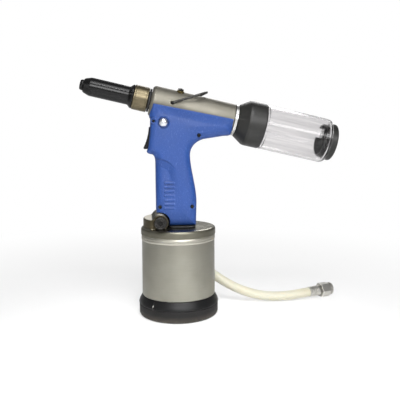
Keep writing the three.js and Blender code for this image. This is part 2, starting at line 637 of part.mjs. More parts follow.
// ---------------------------------------------------------------- assembly
powerUnit(tool);
airPiston(tool);
cylinderCap(tool);
footGasket(tool);
headBody();
nose(head);
pullingGear(head);
headTrim(head);
collector(head);
tool.add(head);
handleShells(tool);
triggerGear(tool);
hoseSet(tool);

export default tool;
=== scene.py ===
"""A hand-held air-over-oil rivet gun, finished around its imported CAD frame.

Shapes are given in millimetres, as in the CAD source, and turned into metres as each mesh is made.
"""
import json
import math

import bpy
import numpy as np
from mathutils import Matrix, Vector


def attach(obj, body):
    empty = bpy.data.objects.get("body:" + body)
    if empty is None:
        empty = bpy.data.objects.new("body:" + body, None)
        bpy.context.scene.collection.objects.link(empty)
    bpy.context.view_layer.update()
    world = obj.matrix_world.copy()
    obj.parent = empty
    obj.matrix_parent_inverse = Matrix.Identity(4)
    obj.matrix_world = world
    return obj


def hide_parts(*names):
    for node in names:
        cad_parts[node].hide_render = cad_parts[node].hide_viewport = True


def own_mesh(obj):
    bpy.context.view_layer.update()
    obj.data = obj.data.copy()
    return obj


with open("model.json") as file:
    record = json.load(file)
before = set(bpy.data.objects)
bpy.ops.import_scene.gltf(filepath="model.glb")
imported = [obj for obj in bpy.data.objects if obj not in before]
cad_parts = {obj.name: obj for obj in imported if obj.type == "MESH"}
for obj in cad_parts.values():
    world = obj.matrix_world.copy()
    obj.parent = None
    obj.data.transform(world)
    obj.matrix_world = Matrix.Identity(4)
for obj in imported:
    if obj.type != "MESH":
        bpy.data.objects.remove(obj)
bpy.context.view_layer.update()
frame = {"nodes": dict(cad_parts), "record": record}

MM = 0.001
RECORD = frame["record"]
BODY_OF = {node: body for body, nodes in RECORD["behaviour"]["bodies"].items() for node in nodes}

# ---------------------------------------------------------------- driving dimensions, as in the CAD
HEAD_TILT = math.radians(13)
HEAD_AXIS_HEIGHT = 212.7
HEAD_REACH = 100
CYLINDER_RADIUS = 37.5
CYLINDER_BORE = 35
CUP_TOP = 20.5
CUP_STEP = 12.1
CUP_RADIUS = 40.4
SEAM = math.radians(-132.5)
CYLINDER_TOP = 79
LIP_FOOT = 76.6
CAP_RADIUS = 38.4
CAP_TOP = 90
CAP_DISC_FOOT = 82.5
SHELF_TOP = 99.5
SHELF_RADIUS = 36
SHELF_FRONT, SHELF_BACK = -21.5, 24
PORT_X, PORT_Z, PORT_HOUSING, PORT_BORE = -19, 96.3, 8.3, 4.3
INLET_X = -13.5
NECK_RADIUS = 9.5
BARREL_RADIUS = 16
BOTTLE_RADIUS = 23.2
SADDLE_RADIUS = 18.6
GRIP_HALF = 17.6
SHELL_WALL = 2.6
SHELL_FOOT = 92.3
TRIGGER_PIVOT = (-24.9, 198)
TRIGGER_HALF = 6.2
VALVE_HEIGHT = 184
BUTTON, BUTTON_RADIUS = (-15.1, 196.3), 4.7
HOSE_RADIUS = 5
HOSE_END = (147.5, 27, 7.1)
HOSE_END_TURN = math.radians(21)
PISTON_TOP = 25.7
BLEED_ANGLE = math.radians(20)
BLEED_PLACE = 99.6
HOOK_WIRE = 1.2
HOOK_FOOT = (93.5, 1.8)
END_CAP_END = 268.2
THREAD_PITCH = 1.9
DRAW_TRAVEL, STEM_TRAVEL = 15.06, 2.21

PORT, INLET = (PORT_X, PORT_Z), (INLET_X, PORT_Z)
COS, SIN = math.cos(HEAD_TILT), math.sin(HEAD_TILT)


# ---------------------------------------------------------------- shader nodes
def feed(tree, socket, value):
    """Links a value into a socket, or sets it there when it is a plain number or colour."""
    if isinstance(value, bpy.types.NodeSocket):
        tree.links.new(value, socket)
    else:
        socket.default_value = value


def add_node(tree, kind, *fed, out=0, **named):
    """Adds a shader node and gives its output. The values go to its first sockets, or to the sockets that
    they are named after, with _ for a space. A name in small letters is a setting of the node."""
    node = tree.nodes.new("ShaderNode" + kind)
    for name, value in named.items():
        if name.islower():
            setattr(node, name, value)
        else:
            feed(tree, node.inputs[name.replace("_", " ")], value)
    for socket, value in zip(node.inputs, fed):
        feed(tree, socket, value)
    return node.outputs[out]


# ---------------------------------------------------------------- camera, lights and floor
def make_camera():
    data = bpy.data.cameras.new("camera")
    data.lens = 47.7
    data.sensor_width = 36
    data.shift_y = -0.1
    camera = bpy.data.objects.new("camera", data)
    camera.location = (-0.0348, -0.5457, 0.1816)
    camera.rotation_euler = (math.radians(90 - 2.48), math.radians(0.34), math.radians(-6.07))
    bpy.context.scene.collection.objects.link(camera)
    bpy.context.scene.camera = camera


def softbox(name, place, aim, width, height, power):
    data = bpy.data.lights.new(name, "AREA")
    data.shape = "RECTANGLE"
    data.size, data.size_y = width, height
    data.energy = power
    light = bpy.data.objects.new(name, data)
    light.location = place
    light.rotation_euler = (Vector(aim) - Vector(place)).to_track_quat("-Z", "Y").to_euler()
    bpy.context.scene.collection.objects.link(light)
    return data


def seen_plainly(tree):
    """1 for what the camera sees straight or through the clear bottle, 0 for reflections and light."""
    straight = add_node(tree, "LightPath", out="Is Camera Ray")
    through = add_node(tree, "LightPath", out="Is Transmission Ray")
    return add_node(tree, "Math", straight, through, operation="MAXIMUM")


def make_lights():
    middle = (0, 0, 0.12)
    softbox("key", (0.22, -1.15, 0.62), middle, 1.2, 0.34, 12.5)
    softbox("upper", (0.1, -0.6, 1.25), middle, 0.9, 0.5, 5.5)
    softbox("fill", (-0.9, -0.9, 0.35), middle, 0.4, 0.8, 1.2)
    softbox("back", (0.35, 1.2, 0.9), middle, 0.6, 0.4, 4.5)
    bench = softbox("bench", (0, -0.4, 0.62), (0, -0.14, 0), 0.12, 0.12, 0.3)
    bench.spread = math.radians(45)
    world = bpy.data.worlds.new("studio")
    bpy.context.scene.world = world
    world.use_nodes = True
    tree = world.node_tree
    background = tree.nodes["Background"]
    background.inputs["Color"].default_value = (1, 1, 1, 1)
    feed(tree, background.inputs["Strength"], add_node(tree, "MapRange", seen_plainly(tree), To_Min=0.24))


def make_floor():
    """A pale floor that runs out into the white of the studio."""
    side = 20
    corners = [(-side, -side, 0), (side, -side, 0), (side, side, 0), (-side, side, 0)]
    mesh = bpy.data.meshes.new("floor")
    mesh.from_pydata(corners, [], [(0, 1, 2, 3)])
    floor = bpy.data.objects.new("floor", mesh)
    floor.location.z = -0.0002
    bpy.context.scene.collection.objects.link(floor)
    material = bpy.data.materials.new("pale_floor")
    material.use_nodes = True
    tree = material.node_tree
    paint = tree.nodes["Principled BSDF"]
    paint.inputs["Base Color"].default_value = (0.93, 0.93, 0.93, 1)
    paint.inputs["Roughness"].default_value = 0.9
    place = add_node(tree, "TexCoord", out="Object")
    away = add_node(tree, "VectorMath", place, operation="LENGTH", out="Value")
    glow_start, glow_end, least_glow = 0.1, 0.55, 0.55
    far = add_node(tree, "MapRange", away, glow_start, glow_end, least_glow, interpolation_type="SMOOTHSTEP")
    share = add_node(tree, "Math", far, seen_plainly(tree), operation="MULTIPLY")
    mixed = add_node(tree, "MixShader", share, paint.outputs[0], add_node(tree, "Emission"))
    feed(tree, tree.nodes["Material Output"].inputs["Surface"], mixed)
    mesh.materials.append(material)


bpy.context.scene.view_settings.view_transform = "Standard"
make_camera()
make_lights()
make_floor()


# ---------------------------------------------------------------- finishes
def srgb(red, green, blue):
    def linear(v):
        v /= 255
        return v / 12.92 if v <= 0.04045 else ((v + 0.055) / 1.055) ** 2.4
    return tuple(linear(v) for v in (red, green, blue)) + (1,)


FINISH = {}


class Finish:
    """A node material: its colour, roughness and bump are layered from noise in the piece's own space."""

    def __init__(self, name, color, roughness, metallic=0.0, along_head=False, **constants):
        FINISH[name] = material = bpy.data.materials.new(name)
        material.use_nodes = True
        self.tree = material.node_tree
        self.shader = self.tree.nodes["Principled BSDF"]
        self.rough = roughness
        constants.update(base_color=color, metallic=metallic, roughness=roughness)
        for key, value in constants.items():
            self.shader.inputs[key.replace("_", " ").title().replace("Ior", "IOR")].default_value = value
        self.place = self.add("TexCoord", out="Object")
        if along_head:
            self.place = self.mapped((1, 1, 1), turn=(0, -HEAD_TILT, 0))

    def add(self, kind, *fed, **named):
        return add_node(self.tree, kind, *fed, **named)

    def math(self, operation, one, other=0.0):
        return self.add("Math", one, other, operation=operation)

    def times(self, one, other):
        return self.math("MULTIPLY", one, other)

    def spread(self, value, low, high, to_low=0.0, to_high=1.0):
        return self.add("MapRange", value, low, high, to_low, to_high)

    def mapped(self, scale, turn=(0, 0, 0)):
        return self.add("Mapping", self.place, Scale=scale, Rotation=turn)

    def noise(self, scale, detail=3.0):
        """Noise with that many waves a metre along X, Y and Z."""
        scale = scale if isinstance(scale, tuple) else (scale,) * 3
        return self.add("TexNoise", self.mapped(scale), Scale=1, Detail=detail)

    def scratches(self, scale, width):
        """Thin lines where a stretched noise passes its middle."""
        line = self.math("ABSOLUTE", self.math("SUBTRACT", self.noise(scale, 1), 0.5))
        return self.spread(line, 0, width, 1, 0)

    def edges(self, start=0.52, end=0.6):
        """Where the surface is a convex edge."""
        return self.spread(self.add("NewGeometry", out="Pointiness"), start, end)

    def creases(self, start=0.49, end=0.42):
        return self.edges(start, end)

    def above(self, height, fade):
        """Where Z is over a height in millimetres, or under it where the fade is negative."""
        return self.spread(self.add("SeparateXYZ", self.place, out="Z"), height * MM, (height + fade) * MM)

    def facing(self, axis, low=0.6, high=0.95):
        normal = self.add("NewGeometry", out="Normal")
        return self.spread(self.add("SeparateXYZ", normal, out=axis), low, high)

    def near(self, point, stretch, radius):
        """Within radius of a point, in metres, measured after each axis is scaled by stretch."""
        centre = [at * scale for at, scale in zip(point, stretch)]
        away = self.add("VectorMath", self.mapped(stretch), centre, operation="DISTANCE", out="Value")
        return self.spread(away, radius, radius / 2)

    def turning_marks(self, waves):
        """Rings round the Z axis, as a lathe leaves them on a face."""
        flat = self.add("VectorMath", self.place, (1, 1, 0), operation="MULTIPLY")
        radius = self.add("VectorMath", flat, operation="LENGTH", out="Value")
        return self.add("TexNoise", noise_dimensions="1D", W=radius, Scale=waves)

    def blend(self, kind, share, over):
        base = self.shader.inputs["Base Color"]
        under = base.links[0].from_socket if base.is_linked else base.default_value
        colors = {"A": under, "B": over}
        mixed = self.add("Mix", data_type="RGBA", blend_type=kind, Factor=share, **colors, out="Result")
        feed(self.tree, base, mixed)

    def tint(self, share, color):
        """Lays a colour over what is there, as far as share says."""
        self.blend("MIX", share, color)

    def vary(self, scale, amount, detail=3.0):
        """Lightens and darkens the colour in patches."""
        self.blend("MULTIPLY", 1, self.spread(self.noise(scale, detail), 0.3, 0.7, 1 - amount, 1 + amount))

    def roughen(self, share, amount):
        """Adds amount to the roughness where share is 1."""
        self.rough = self.math("ADD", self.times(share, amount), self.rough)
        feed(self.tree, self.shader.inputs["Roughness"], self.rough)

    def bump(self, height, depth):
        """Raises the surface by depth, in metres, where height is 1."""
        normal = self.shader.inputs["Normal"]
        under = {"Normal": normal.links[0].from_socket} if normal.is_linked else {}
        feed(self.tree, normal, self.add("Bump", Strength=1, Distance=depth, Height=height, **under))


def bare_metal(name, color, roughness, grain, along_head=False, depth=0.000012):
    """Metal with a fine grain, whose waves a metre along each axis are given, and smudged roughness."""
    finish = Finish(name, color, roughness, 1.0, along_head)
    finish.vary(35, 0.05)
    finish.vary(grain, 0.06)
    finish.roughen(finish.spread(finish.noise(60), 0.35, 0.7), 0.12)
    finish.roughen(finish.spread(finish.noise(grain, 2), 0.3, 0.7), 0.08)
    finish.bump(finish.noise(grain, 2), depth)
    return finish


ROUND_UPRIGHT, ROUND_HEAD = (60, 60, 5200), (5200, 60, 60)      # grain left by turning, waves a metre


def anodised_finishes():
    cast = bare_metal("anodised_cylinder", srgb(143, 141, 131), 0.32, ROUND_UPRIGHT, depth=0.000008)
    cast.bump(cast.noise(3800, 2), 0.000006)
    cast.vary((30, 30, 14), 0.09)
    # Painted highlight: the rolled bead at the tube's top is painted lighter, where light catches it.
    cast.tint(cast.above(LIP_FOOT, 0.6), srgb(182, 179, 168))
    # Painted highlight: the tube's convex edges are painted lighter, varied by noise.
    cast.tint(cast.times(cast.edges(), cast.noise(300)), srgb(206, 204, 196))

    cap = bare_metal("anodised_cap", srgb(113, 111, 99), 0.36, ROUND_UPRIGHT, depth=0.000006)
    # Painted highlight: the band under the cap's disc is painted lighter, like the tube's bead below it.
    cap.tint(cap.above(CAP_DISC_FOOT + 0.1, -0.3), srgb(182, 179, 168))
    raised = cap.above(CAP_TOP + 0.4, 0.4)
    # The cap's up-facing faces under the shelf are polished, smoother and with turning marks, and also
    # painted lighter: a painted sheen on the top.
    polish_and_sheen = cap.spread(cap.math("SUBTRACT", cap.facing("Z"), raised), 0, 1)
    cap.roughen(polish_and_sheen, -0.2)
    cap.tint(polish_and_sheen, srgb(140, 137, 125))
    # Painted highlight: the shelf's up-facing top is painted near white, where light falls on it; it is also
    # made rougher.
    shelf = cap.times(raised, cap.facing("Z", 0.7, 0.98))
    cap.tint(shelf, srgb(224, 220, 208))
    cap.roughen(shelf, 0.25)
    cap.bump(cap.times(cap.turning_marks(2600), polish_and_sheen), 0.000012)
    # Painted shade: the raised walls that don't face rearwards are painted dark olive.
    wall = cap.times(raised, cap.facing("Z", 0.6, 0.2))
    cap.tint(cap.times(wall, cap.facing("X", 0.35, 0)), srgb(92, 85, 68))
    # Painted shade: within 11 mm of the port's axis, faces that don't face up are painted nearly black.
    plug_shade = cap.near((PORT_X * MM, 0, PORT_Z * MM), (1, 0, 1), 0.011)
    cap.tint(cap.times(plug_shade, cap.facing("Z", 0.99, 0.9)), srgb(38, 34, 27))
    # Painted shade in the cap's creases.
    cap.tint(cap.times(cap.creases(), 0.7), srgb(60, 56, 46))

    barrel = bare_metal("anodised_barrel", srgb(131, 128, 118), 0.48, ROUND_HEAD, True, 0.000008)
    barrel.bump(barrel.noise(3800, 2), 0.000008)
    # Painted highlight along the barrel's convex edges.
    barrel.tint(barrel.times(barrel.edges(), 0.5), srgb(196, 192, 180))


def bright_finishes():
    brass = bare_metal("nickel_brass", srgb(116, 107, 86), 0.3, (6500, 40, 40), True, 0.000016)
    # Painted highlight along the nut's convex edges and lines.
    brass.tint(brass.times(brass.edges(), 0.6), srgb(206, 194, 160))
    olive = bare_metal("olive_brass", srgb(112, 100, 66), 0.34, 2600, depth=0.00002)
    # Painted shade in the creases of the knurl and steps.
    olive.tint(olive.times(olive.creases(), 0.8), srgb(52, 44, 26))
    zinc = bare_metal("zinc_steel", srgb(200, 198, 192), 0.22, 1500, depth=0.000012)
    # Painted shade in the crimps and creases.
    zinc.tint(zinc.times(zinc.creases(), 0.75), srgb(60, 58, 52))
    bare_metal("bright_steel", srgb(206, 206, 204), 0.22, ROUND_HEAD, True, 0.00001)
    bare_metal("ground_steel", srgb(170, 171, 173), 0.25, 3000, depth=0.00001)

    chrome = Finish("chrome", srgb(222, 225, 230), 0.24, 1.0)
    chrome.roughen(chrome.spread(chrome.noise(180), 0.4, 0.75), 0.06)
    chrome.vary(90, 0.03)


def dark_steel_finishes():
    black = Finish("black_steel", srgb(9, 9, 10), 0.22, 0.3, True)
    black.vary(90, 0.18)
    black.roughen(black.spread(black.noise(60), 0.35, 0.75), 0.06)
    worn = black.times(black.edges(0.57, 0.66), black.spread(black.noise(700), 0.35, 0.65))
    black.tint(worn, srgb(112, 110, 106))
    black.bump(black.noise((30, 500, 500), 2), 0.000002)

    oxide = Finish("oxide_steel", srgb(38, 37, 36), 0.36, 0.6)
    oxide.vary(300, 0.15)
    worn = oxide.times(oxide.edges(), oxide.spread(oxide.noise(900), 0.3, 0.6))
    oxide.tint(worn, srgb(126, 124, 118))
    oxide.roughen(oxide.noise(400), 0.12)
    oxide.bump(oxide.noise(3000, 2), 0.00001)


def plastic_finishes():
    plastic = Finish("moulded_black", srgb(24, 24, 22), 0.36, 0, True)
    plastic.vary(40, 0.1)
    plastic.vary((25, 420, 420), 0.12)
    plastic.roughen(plastic.spread(plastic.noise(70), 0.3, 0.7), 0.14)
    # Painted highlight along convex edges.
    plastic.tint(plastic.times(plastic.edges(), 0.5), srgb(84, 83, 80))
    plastic.tint(plastic.times(plastic.scratches((150, 1500, 1500), 0.012), 0.35), srgb(92, 91, 88))
    plastic.bump(plastic.noise(2600, 2), 0.00003)

    lever = Finish("trigger_black", srgb(11, 11, 14), 0.45, 0, specular_ior_level=0.3)
    lever.vary(90, 0.15)
    lever.roughen(lever.noise(120), 0.1)
    # Painted highlight along the trigger's convex edges.
    lever.tint(lever.times(lever.edges(), 0.4), srgb(58, 58, 60))
    lever.bump(lever.noise(2600, 2), 0.00003)

    blue = Finish("moulded_blue", srgb(25, 63, 131), 0.4, 0)
    blue.vary(28, 0.07)
    blue.vary(1800, 0.05, 2)
    blue.roughen(blue.spread(blue.noise(55), 0.3, 0.7), 0.12)
    rubbed = blue.times(blue.edges(0.51, 0.57), blue.spread(blue.noise(420), 0.35, 0.65))
    blue.tint(blue.times(rubbed, 0.45), srgb(84, 112, 180))
    # Painted shade in the handle's creases.
    blue.tint(blue.times(blue.creases(0.49, 0.44), 0.6), srgb(22, 38, 84))
    blue.tint(blue.times(blue.scratches((700, 700, 160), 0.01), 0.3), srgb(120, 148, 214))
    blue.bump(blue.noise(2800, 2), 0.00004)


def rubber_finishes():
    rubber = Finish("cup_rubber", srgb(23, 22, 22), 0.62, 0, specular_ior_level=0.3)
    upper = rubber.above(CUP_STEP, 0.5)
    rubber.tint(upper, srgb(10, 10, 11))
    rubber.roughen(upper, -0.24)
    rubber.vary(60, 0.1)
    dust = rubber.times(rubber.above(7, -7), rubber.noise(220))
    rubber.tint(rubber.times(dust, 0.6), srgb(116, 108, 96))
    # Painted highlight: a thin light line up the moulding seam, where its raised rib catches light.
    seam = [CUP_RADIUS * MM * math.cos(SEAM), CUP_RADIUS * MM * math.sin(SEAM), 0.0155]
    rubber.tint(rubber.near(seam, (1, 1, 0.16), 0.0007), srgb(190, 188, 182))
    rubber.roughen(rubber.spread(rubber.noise(90), 0.3, 0.7), 0.12)
    rubber.bump(rubber.noise(1500, 3), 0.00005)

    seal = Finish("seal_rubber", srgb(24, 24, 25), 0.55, 0)
    seal.vary(200, 0.12)
    seal.bump(seal.noise(2200, 2), 0.00003)


def pale_finishes():
    clear = Finish("clear_bottle", srgb(246, 245, 245), 0.04, 0, True, ior=1.25, transmission_weight=1.0)
    # Painted reflection: grey streaks along the bottle stand in for its reflected bands; they are also made
    # rougher.
    streak = clear.noise((9, 260, 260), 3)
    clear.tint(clear.spread(streak, 0.35, 0.7, 0, 0.8), srgb(206, 204, 206))
    clear.roughen(clear.spread(streak, 0.35, 0.7), 0.16)
    clear.roughen(clear.scratches((60, 900, 900), 0.02), 0.12)
    clear.bump(clear.noise((14, 300, 300), 2), 0.00012)

    hose = Finish(
        "hose_ivory", srgb(218, 215, 196), 0.3, 0, transmission_weight=0.25,
        subsurface_weight=0.25, subsurface_radius=(0.004, 0.003, 0.002), subsurface_scale=1,
    )
    hose.vary(45, 0.05)
    hose.tint(hose.spread(hose.noise((25, 300, 300)), 0.5, 0.8, 0, 0.35), srgb(202, 196, 166))
    hose.roughen(hose.spread(hose.noise(120), 0.3, 0.7), 0.2)
    hose.bump(hose.noise(600, 2), 0.00006)


anodised_finishes()
bright_finishes()
dark_steel_finishes()
plastic_finishes()
rubber_finishes()
pale_finishes()


# ---------------------------------------------------------------- mesh helpers
def frame_at(origin, along, up=(0, 0, 1)):
    """A frame whose X runs along a direction, with its origin at a point."""
    x = Vector(along).normalized()
    y = Vector(up).cross(x).normalized()
    z = x.cross(y)
    return np.array([[x[i], y[i], z[i], origin[i]] for i in range(3)])


def moved(points, place, turn_only=False):
    out = points @ place[:, :3].T
    return out if turn_only else out + place[:, 3]


HEAD = frame_at((-HEAD_REACH * COS, 0, HEAD_AXIS_HEIGHT + HEAD_REACH * SIN), (COS, 0, -SIN))
UPRIGHT = np.array([[0, 1, 0, 0], [0, 0, 1, 0], [1, 0, 0, 0]], float)      # X of the shape stands up
VALVE = frame_at((0, 0, VALVE_HEIGHT), (1, 0, 0))


def to_head(x, z):
    """Distance from the nose tip and height over the head's axis, of a point in the row frame."""
    z = z - HEAD_AXIS_HEIGHT
    return HEAD_REACH + x * COS - z * SIN, x * SIN + z * COS


def add_piece(name, data):
    """Adds a piece in place of the CAD node whose name it has, but for its own last word."""
    node = name.rpartition("_")[0]
    piece = bpy.data.objects.new(name, data)
    bpy.context.scene.collection.objects.link(piece)
    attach(piece, BODY_OF[node])
    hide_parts(node)
    return piece


def make_piece(name, points, faces, normals, finish):
    mesh = bpy.data.meshes.new(name)
    mesh.from_pydata(points * MM, [], faces)
    mesh.update()
    mesh.shade_smooth()
    mesh.normals_split_custom_set_from_vertices(normals)
    mesh.materials.append(FINISH[finish])
    return add_piece(name, mesh)


def rounded(profile, fillet):
    """A profile's corners rounded off: points with the normal at each. Its ends on the axis stay."""
    corners = [np.array(p[:2], float) for p in profile]
    radii = [p[2] if len(p) > 2 else fillet for p in profile]
    count = len(corners)
    closed = not (corners[0][0] == 0 and corners[-1][0] == 0)
    area = sum(a[0] * b[1] - b[0] * a[1] for a, b in zip(corners, corners[1:] + corners[:1]))
    side = 1 if area > 0 else -1

    def outward(way):
        return side * np.array([way[1], -way[0]])

    points, normals = [], []
    for i, corner in enumerate(corners):
        if not closed and i in (0, count - 1):
            neighbour = corners[1] if i == 0 else corners[-2]
            way = (neighbour - corner) * (1 if i == 0 else -1)
            points.append(corner)
            normals.append(outward(way / np.linalg.norm(way)))
            continue
        before, after = corner - corners[i - 1], corners[(i + 1) % count] - corner
        reach = 0.45 * min(np.linalg.norm(before), np.linalg.norm(after))
        before, after = before / np.linalg.norm(before), after / np.linalg.norm(after)
        bend = math.atan2(before[0] * after[1] - before[1] * after[0], before @ after)
        if abs(bend) < 0.02:
            points.append(corner)
            normals.append(outward(before))
            continue
        half = math.tan(abs(bend) / 2)
        radius = min(radii[i], reach / half)
        turned_out = 1 if bend * side > 0 else -1
        start_normal = outward(before)
        centre = corner - before * radius * half - turned_out * radius * start_normal
        steps = max(2, round(abs(bend) / math.radians(14)))
        for k in range(steps + 1):
            angle = bend * k / steps
            c, s = math.cos(angle), math.sin(angle)
            normal = np.array([[c, -s], [s, c]]) @ start_normal
            points.append(centre + turned_out * radius * normal)
            normals.append(normal)
    return np.array(points), np.array(normals), closed, side


def turned_mesh(profile, sides, fillet=0.35, swell=None):
    """A profile of [radius, distance along X] points turned about X. swell(angle, along) widens it."""
    line, slope, closed, side = rounded(profile, fillet)
    poles = np.zeros(len(line), bool) if closed else line[:, 0] < 1e-9
    points, normals, rows = [], [], []
    angle = np.arange(sides) * 2 * math.pi / sides
    for (radius, along), (out, forward), pole in zip(line, slope, poles):
        start = sum(len(p) for p in points)
        if pole:
            points.append(np.array([[along, 0, 0]]))
            normals.append(np.array([[math.copysign(1, forward), 0, 0]]))
            rows.append(np.full(sides, start))
            continue
        grown, lean = np.full(sides, radius), 0
        if swell and out > 0.2:
            grown = radius + swell(angle, along)
            lean = (swell(angle - 0.002, along) - swell(angle + 0.002, along)) / (0.004 * radius)
        points.append(np.stack([np.full(sides, along), grown * np.cos(angle), grown * np.sin(angle)], 1))
        around = np.arctan(lean) + angle
        normals.append(np.stack([np.full(sides, forward), out * np.cos(around), out * np.sin(around)], 1))
        rows.append(start + np.arange(sides))
    faces = []
    pairs = list(zip(rows, rows[1:] + rows[:1])) if closed else list(zip(rows, rows[1:]))
    for one, other in pairs:
        ring = zip(one, np.roll(one, -1), np.roll(other, -1), other)
        for a, b, c, d in ring:
            face = (a, b, c, d) if side > 0 else (d, c, b, a)
            face = tuple(int(v) for v in dict.fromkeys(face))
            if len(face) > 2:
                faces.append(face)
    return np.concatenate(points), faces, np.concatenate(normals)


def turned(name, profile, finish, place=HEAD, sides=96, fillet=0.35, swell=None):
    points, faces, normals = turned_mesh(profile, sides, fillet, swell)
    return make_piece(name, moved(points, place), faces, moved(normals, place, turn_only=True), finish)


def ring(inner, outer, low, high):
    return [[inner, low], [outer, low], [outer, high], [inner, high]]


# ---------------------------------------------------------------- solids by distance
def join(a, b, soft=0.8):
    """Both solids, with a fillet where they meet."""
    near = np.maximum(soft - np.abs(a - b), 0) / soft
    return np.minimum(a, b) - near * near * soft / 4


def meet(a, b, soft=0.8):
    """What both solids hold, with its edge rounded."""
    return -join(-a, -b, soft)


def carve(a, b, soft=0.8):
    return meet(a, -b, soft)


def span(value, low, high, soft=0.8):
    return meet(low - value, value - high, soft)


def rod(u, v, centre, radius):
    return np.hypot(u - centre[0], v - centre[1]) - radius


def hexagon(u, v, flat, turn=0.0):
    angles = [turn + k * math.pi / 3 for k in range(3)]
    sides = [np.abs(u * math.cos(a) + v * math.sin(a)) for a in angles]
    return np.maximum(np.maximum(sides[0], sides[1]), sides[2]) - flat


def brick(x, y, z, low, high, soft=0.8):
    sides = [np.maximum(low[i] - v, v - high[i]) for i, v in enumerate((x, y, z))]
    return meet(meet(sides[0], sides[1], soft), sides[2], soft)


def capsule(x, y, z, start, end, radius):
    way = np.subtract(end, start)
    along = ((x - start[0]) * way[0] + (y - start[1]) * way[1] + (z - start[2]) * way[2]) / (way @ way)
    along = np.clip(along, 0, 1)
    gap = [v - start[i] - along * way[i] for i, v in enumerate((x, y, z))]
    return np.sqrt(gap[0] ** 2 + gap[1] ** 2 + gap[2] ** 2) - radius


def outline_distance(outline, u, v):
    """Signed distance to a closed outline in its plane, negative inside."""
    nearest = np.full(np.broadcast(u, v).shape, 1e9)
    inside = np.zeros(nearest.shape, bool)
    for (au, av), (bu, bv) in zip(outline, outline[1:] + outline[:1]):
        eu, ev = bu - au, bv - av
        t = np.clip(((u - au) * eu + (v - av) * ev) / (eu * eu + ev * ev), 0, 1)
        nearest = np.minimum(nearest, (u - au - t * eu) ** 2 + (v - av - t * ev) ** 2)
        if ev != 0:
            inside ^= ((av > v) != (bv > v)) & (u < eu * (v - av) / ev + au)
    return np.where(inside, -1, 1) * np.sqrt(nearest)


def curve_points(ends, steps=14):
    """Points along a Bezier curve of any degree, without its start."""
    out = []
    for k in range(1, steps + 1):
        t = k / steps
        level = [np.array(p, float) for p in ends]
        while len(level) > 1:
            level = [a + (b - a) * t for a, b in zip(level, level[1:])]
        out.append(tuple(level[0]))
    return out


def gradient(field, points, step=0.03):
    out = np.zeros(points.shape)
    for axis in range(3):
        shift = np.zeros(3)
        shift[axis] = step
        out[:, axis] = field(*(points + shift).T) - field(*(points - shift).T)
    return out / (2 * step)


def surface(field, low, high, step):
    """The surface where field is zero: one vertex in each cell that it crosses, moved onto it, and quads."""
    axes = [np.arange(a - 2 * step, b + 2 * step, step) for a, b in zip(low, high)]
    shape = tuple(len(a) for a in axes)
    value = np.broadcast_to(field(*np.meshgrid(*axes, indexing="ij", sparse=True)), shape)
    inside = value < 0
    corners = [(i, j, k) for i in (0, 1) for j in (0, 1) for k in (0, 1)]
    held = 0
    for corner in corners:
        part = tuple(slice(start, n - 1 + start) for start, n in zip(corner, shape))
        held = held + inside[part].astype(np.int8)
    cells = np.argwhere((held > 0) & (held < 8))
    at = {corner: value[tuple((cells + corner).T)] for corner in corners}
    total, number = np.zeros((len(cells), 3)), np.zeros(len(cells))
    for corner in corners:
        for axis in range(3):
            if corner[axis]:
                continue
            other = tuple(1 if i == axis else v for i, v in enumerate(corner))
            crosses = (at[corner] < 0) != (at[other] < 0)
            point = np.tile(np.array(corner, float), (len(cells), 1))
            point[:, axis] = at[corner] / np.where(crosses, at[corner] - at[other], 1)
            total[crosses] += point[crosses]
            number += crosses
    points = np.array([a[0] for a in axes]) + (cells + total / number[:, None]) * step
    for _ in range(2):
        slope = gradient(field, points)
        away = field(*points.T)[:, None] * slope / np.maximum((slope ** 2).sum(1), 0.1)[:, None]
        length = np.linalg.norm(away, axis=1)[:, None]
        points = points - away * np.minimum(1, 0.6 * step / np.maximum(length, 1e-9))
    normals = gradient(field, points)
    normals /= np.maximum(np.linalg.norm(normals, axis=1), 1e-9)[:, None]

    index = np.full([n - 1 for n in shape], -1, np.int32)
    index[tuple(cells.T)] = np.arange(len(cells))
    quads = []
    for axis, (u, v) in enumerate(((1, 2), (2, 0), (0, 1))):
        first = [slice(1, n - 1) for n in shape]
        second = list(first)
        first[axis], second[axis] = slice(0, shape[axis] - 1), slice(1, shape[axis])
        start = np.ones(3, int)
        start[axis] = 0
        leaving = inside[tuple(first)]
        edges = np.argwhere(leaving != inside[tuple(second)])
        outward = leaving[tuple(edges.T)]
        base = edges + start
        step_u, step_v = np.eye(3, dtype=int)[u], np.eye(3, dtype=int)[v]
        four = [index[tuple((base - back).T)] for back in (0, step_u, step_u + step_v, step_v)]
        quad = np.stack(four, 1)
        quad[~outward] = quad[~outward][:, ::-1]
        quads.append(quad)
    return points, np.concatenate(quads), normals


def shaped(name, field, low, high, step, finish, place=None):
    points, faces, normals = surface(field, low, high, step)
    if place is not None:
        normals = moved(normals, place, turn_only=True)
        points = moved(points, place)
    return make_piece(name, points, faces.tolist(), normals, finish)


# ---------------------------------------------------------------- wires and the hose
def between(a, b, start, end, t):
    return ((end - t) * a + (t - start) * b) / (end - start)


def smooth_route(points, steps=8):
    """A centripetal Catmull-Rom curve through the points, as three.js draws it."""
    p = [np.array(q, float) for q in points]
    p = [2 * p[0] - p[1]] + p + [2 * p[-1] - p[-2]]
    out = []
    for i in range(1, len(p) - 2):
        knots = [0.0]
        for a, b in zip(p[i - 1:i + 2], p[i:i + 3]):
            knots.append(knots[-1] + np.linalg.norm(b - a) ** 0.5)
        for k in range(steps):
            t = knots[1] + (knots[2] - knots[1]) * k / steps
            level = p[i - 1:i + 3]
            for reach in (1, 2):
                pairs = enumerate(zip(level, level[1:]))
                level = [between(a, b, knots[j], knots[j + reach], t) for j, (a, b) in pairs]
            out.append(between(level[0], level[1], knots[1], knots[2], t))
    out.append(p[-2])
    return np.array(out)


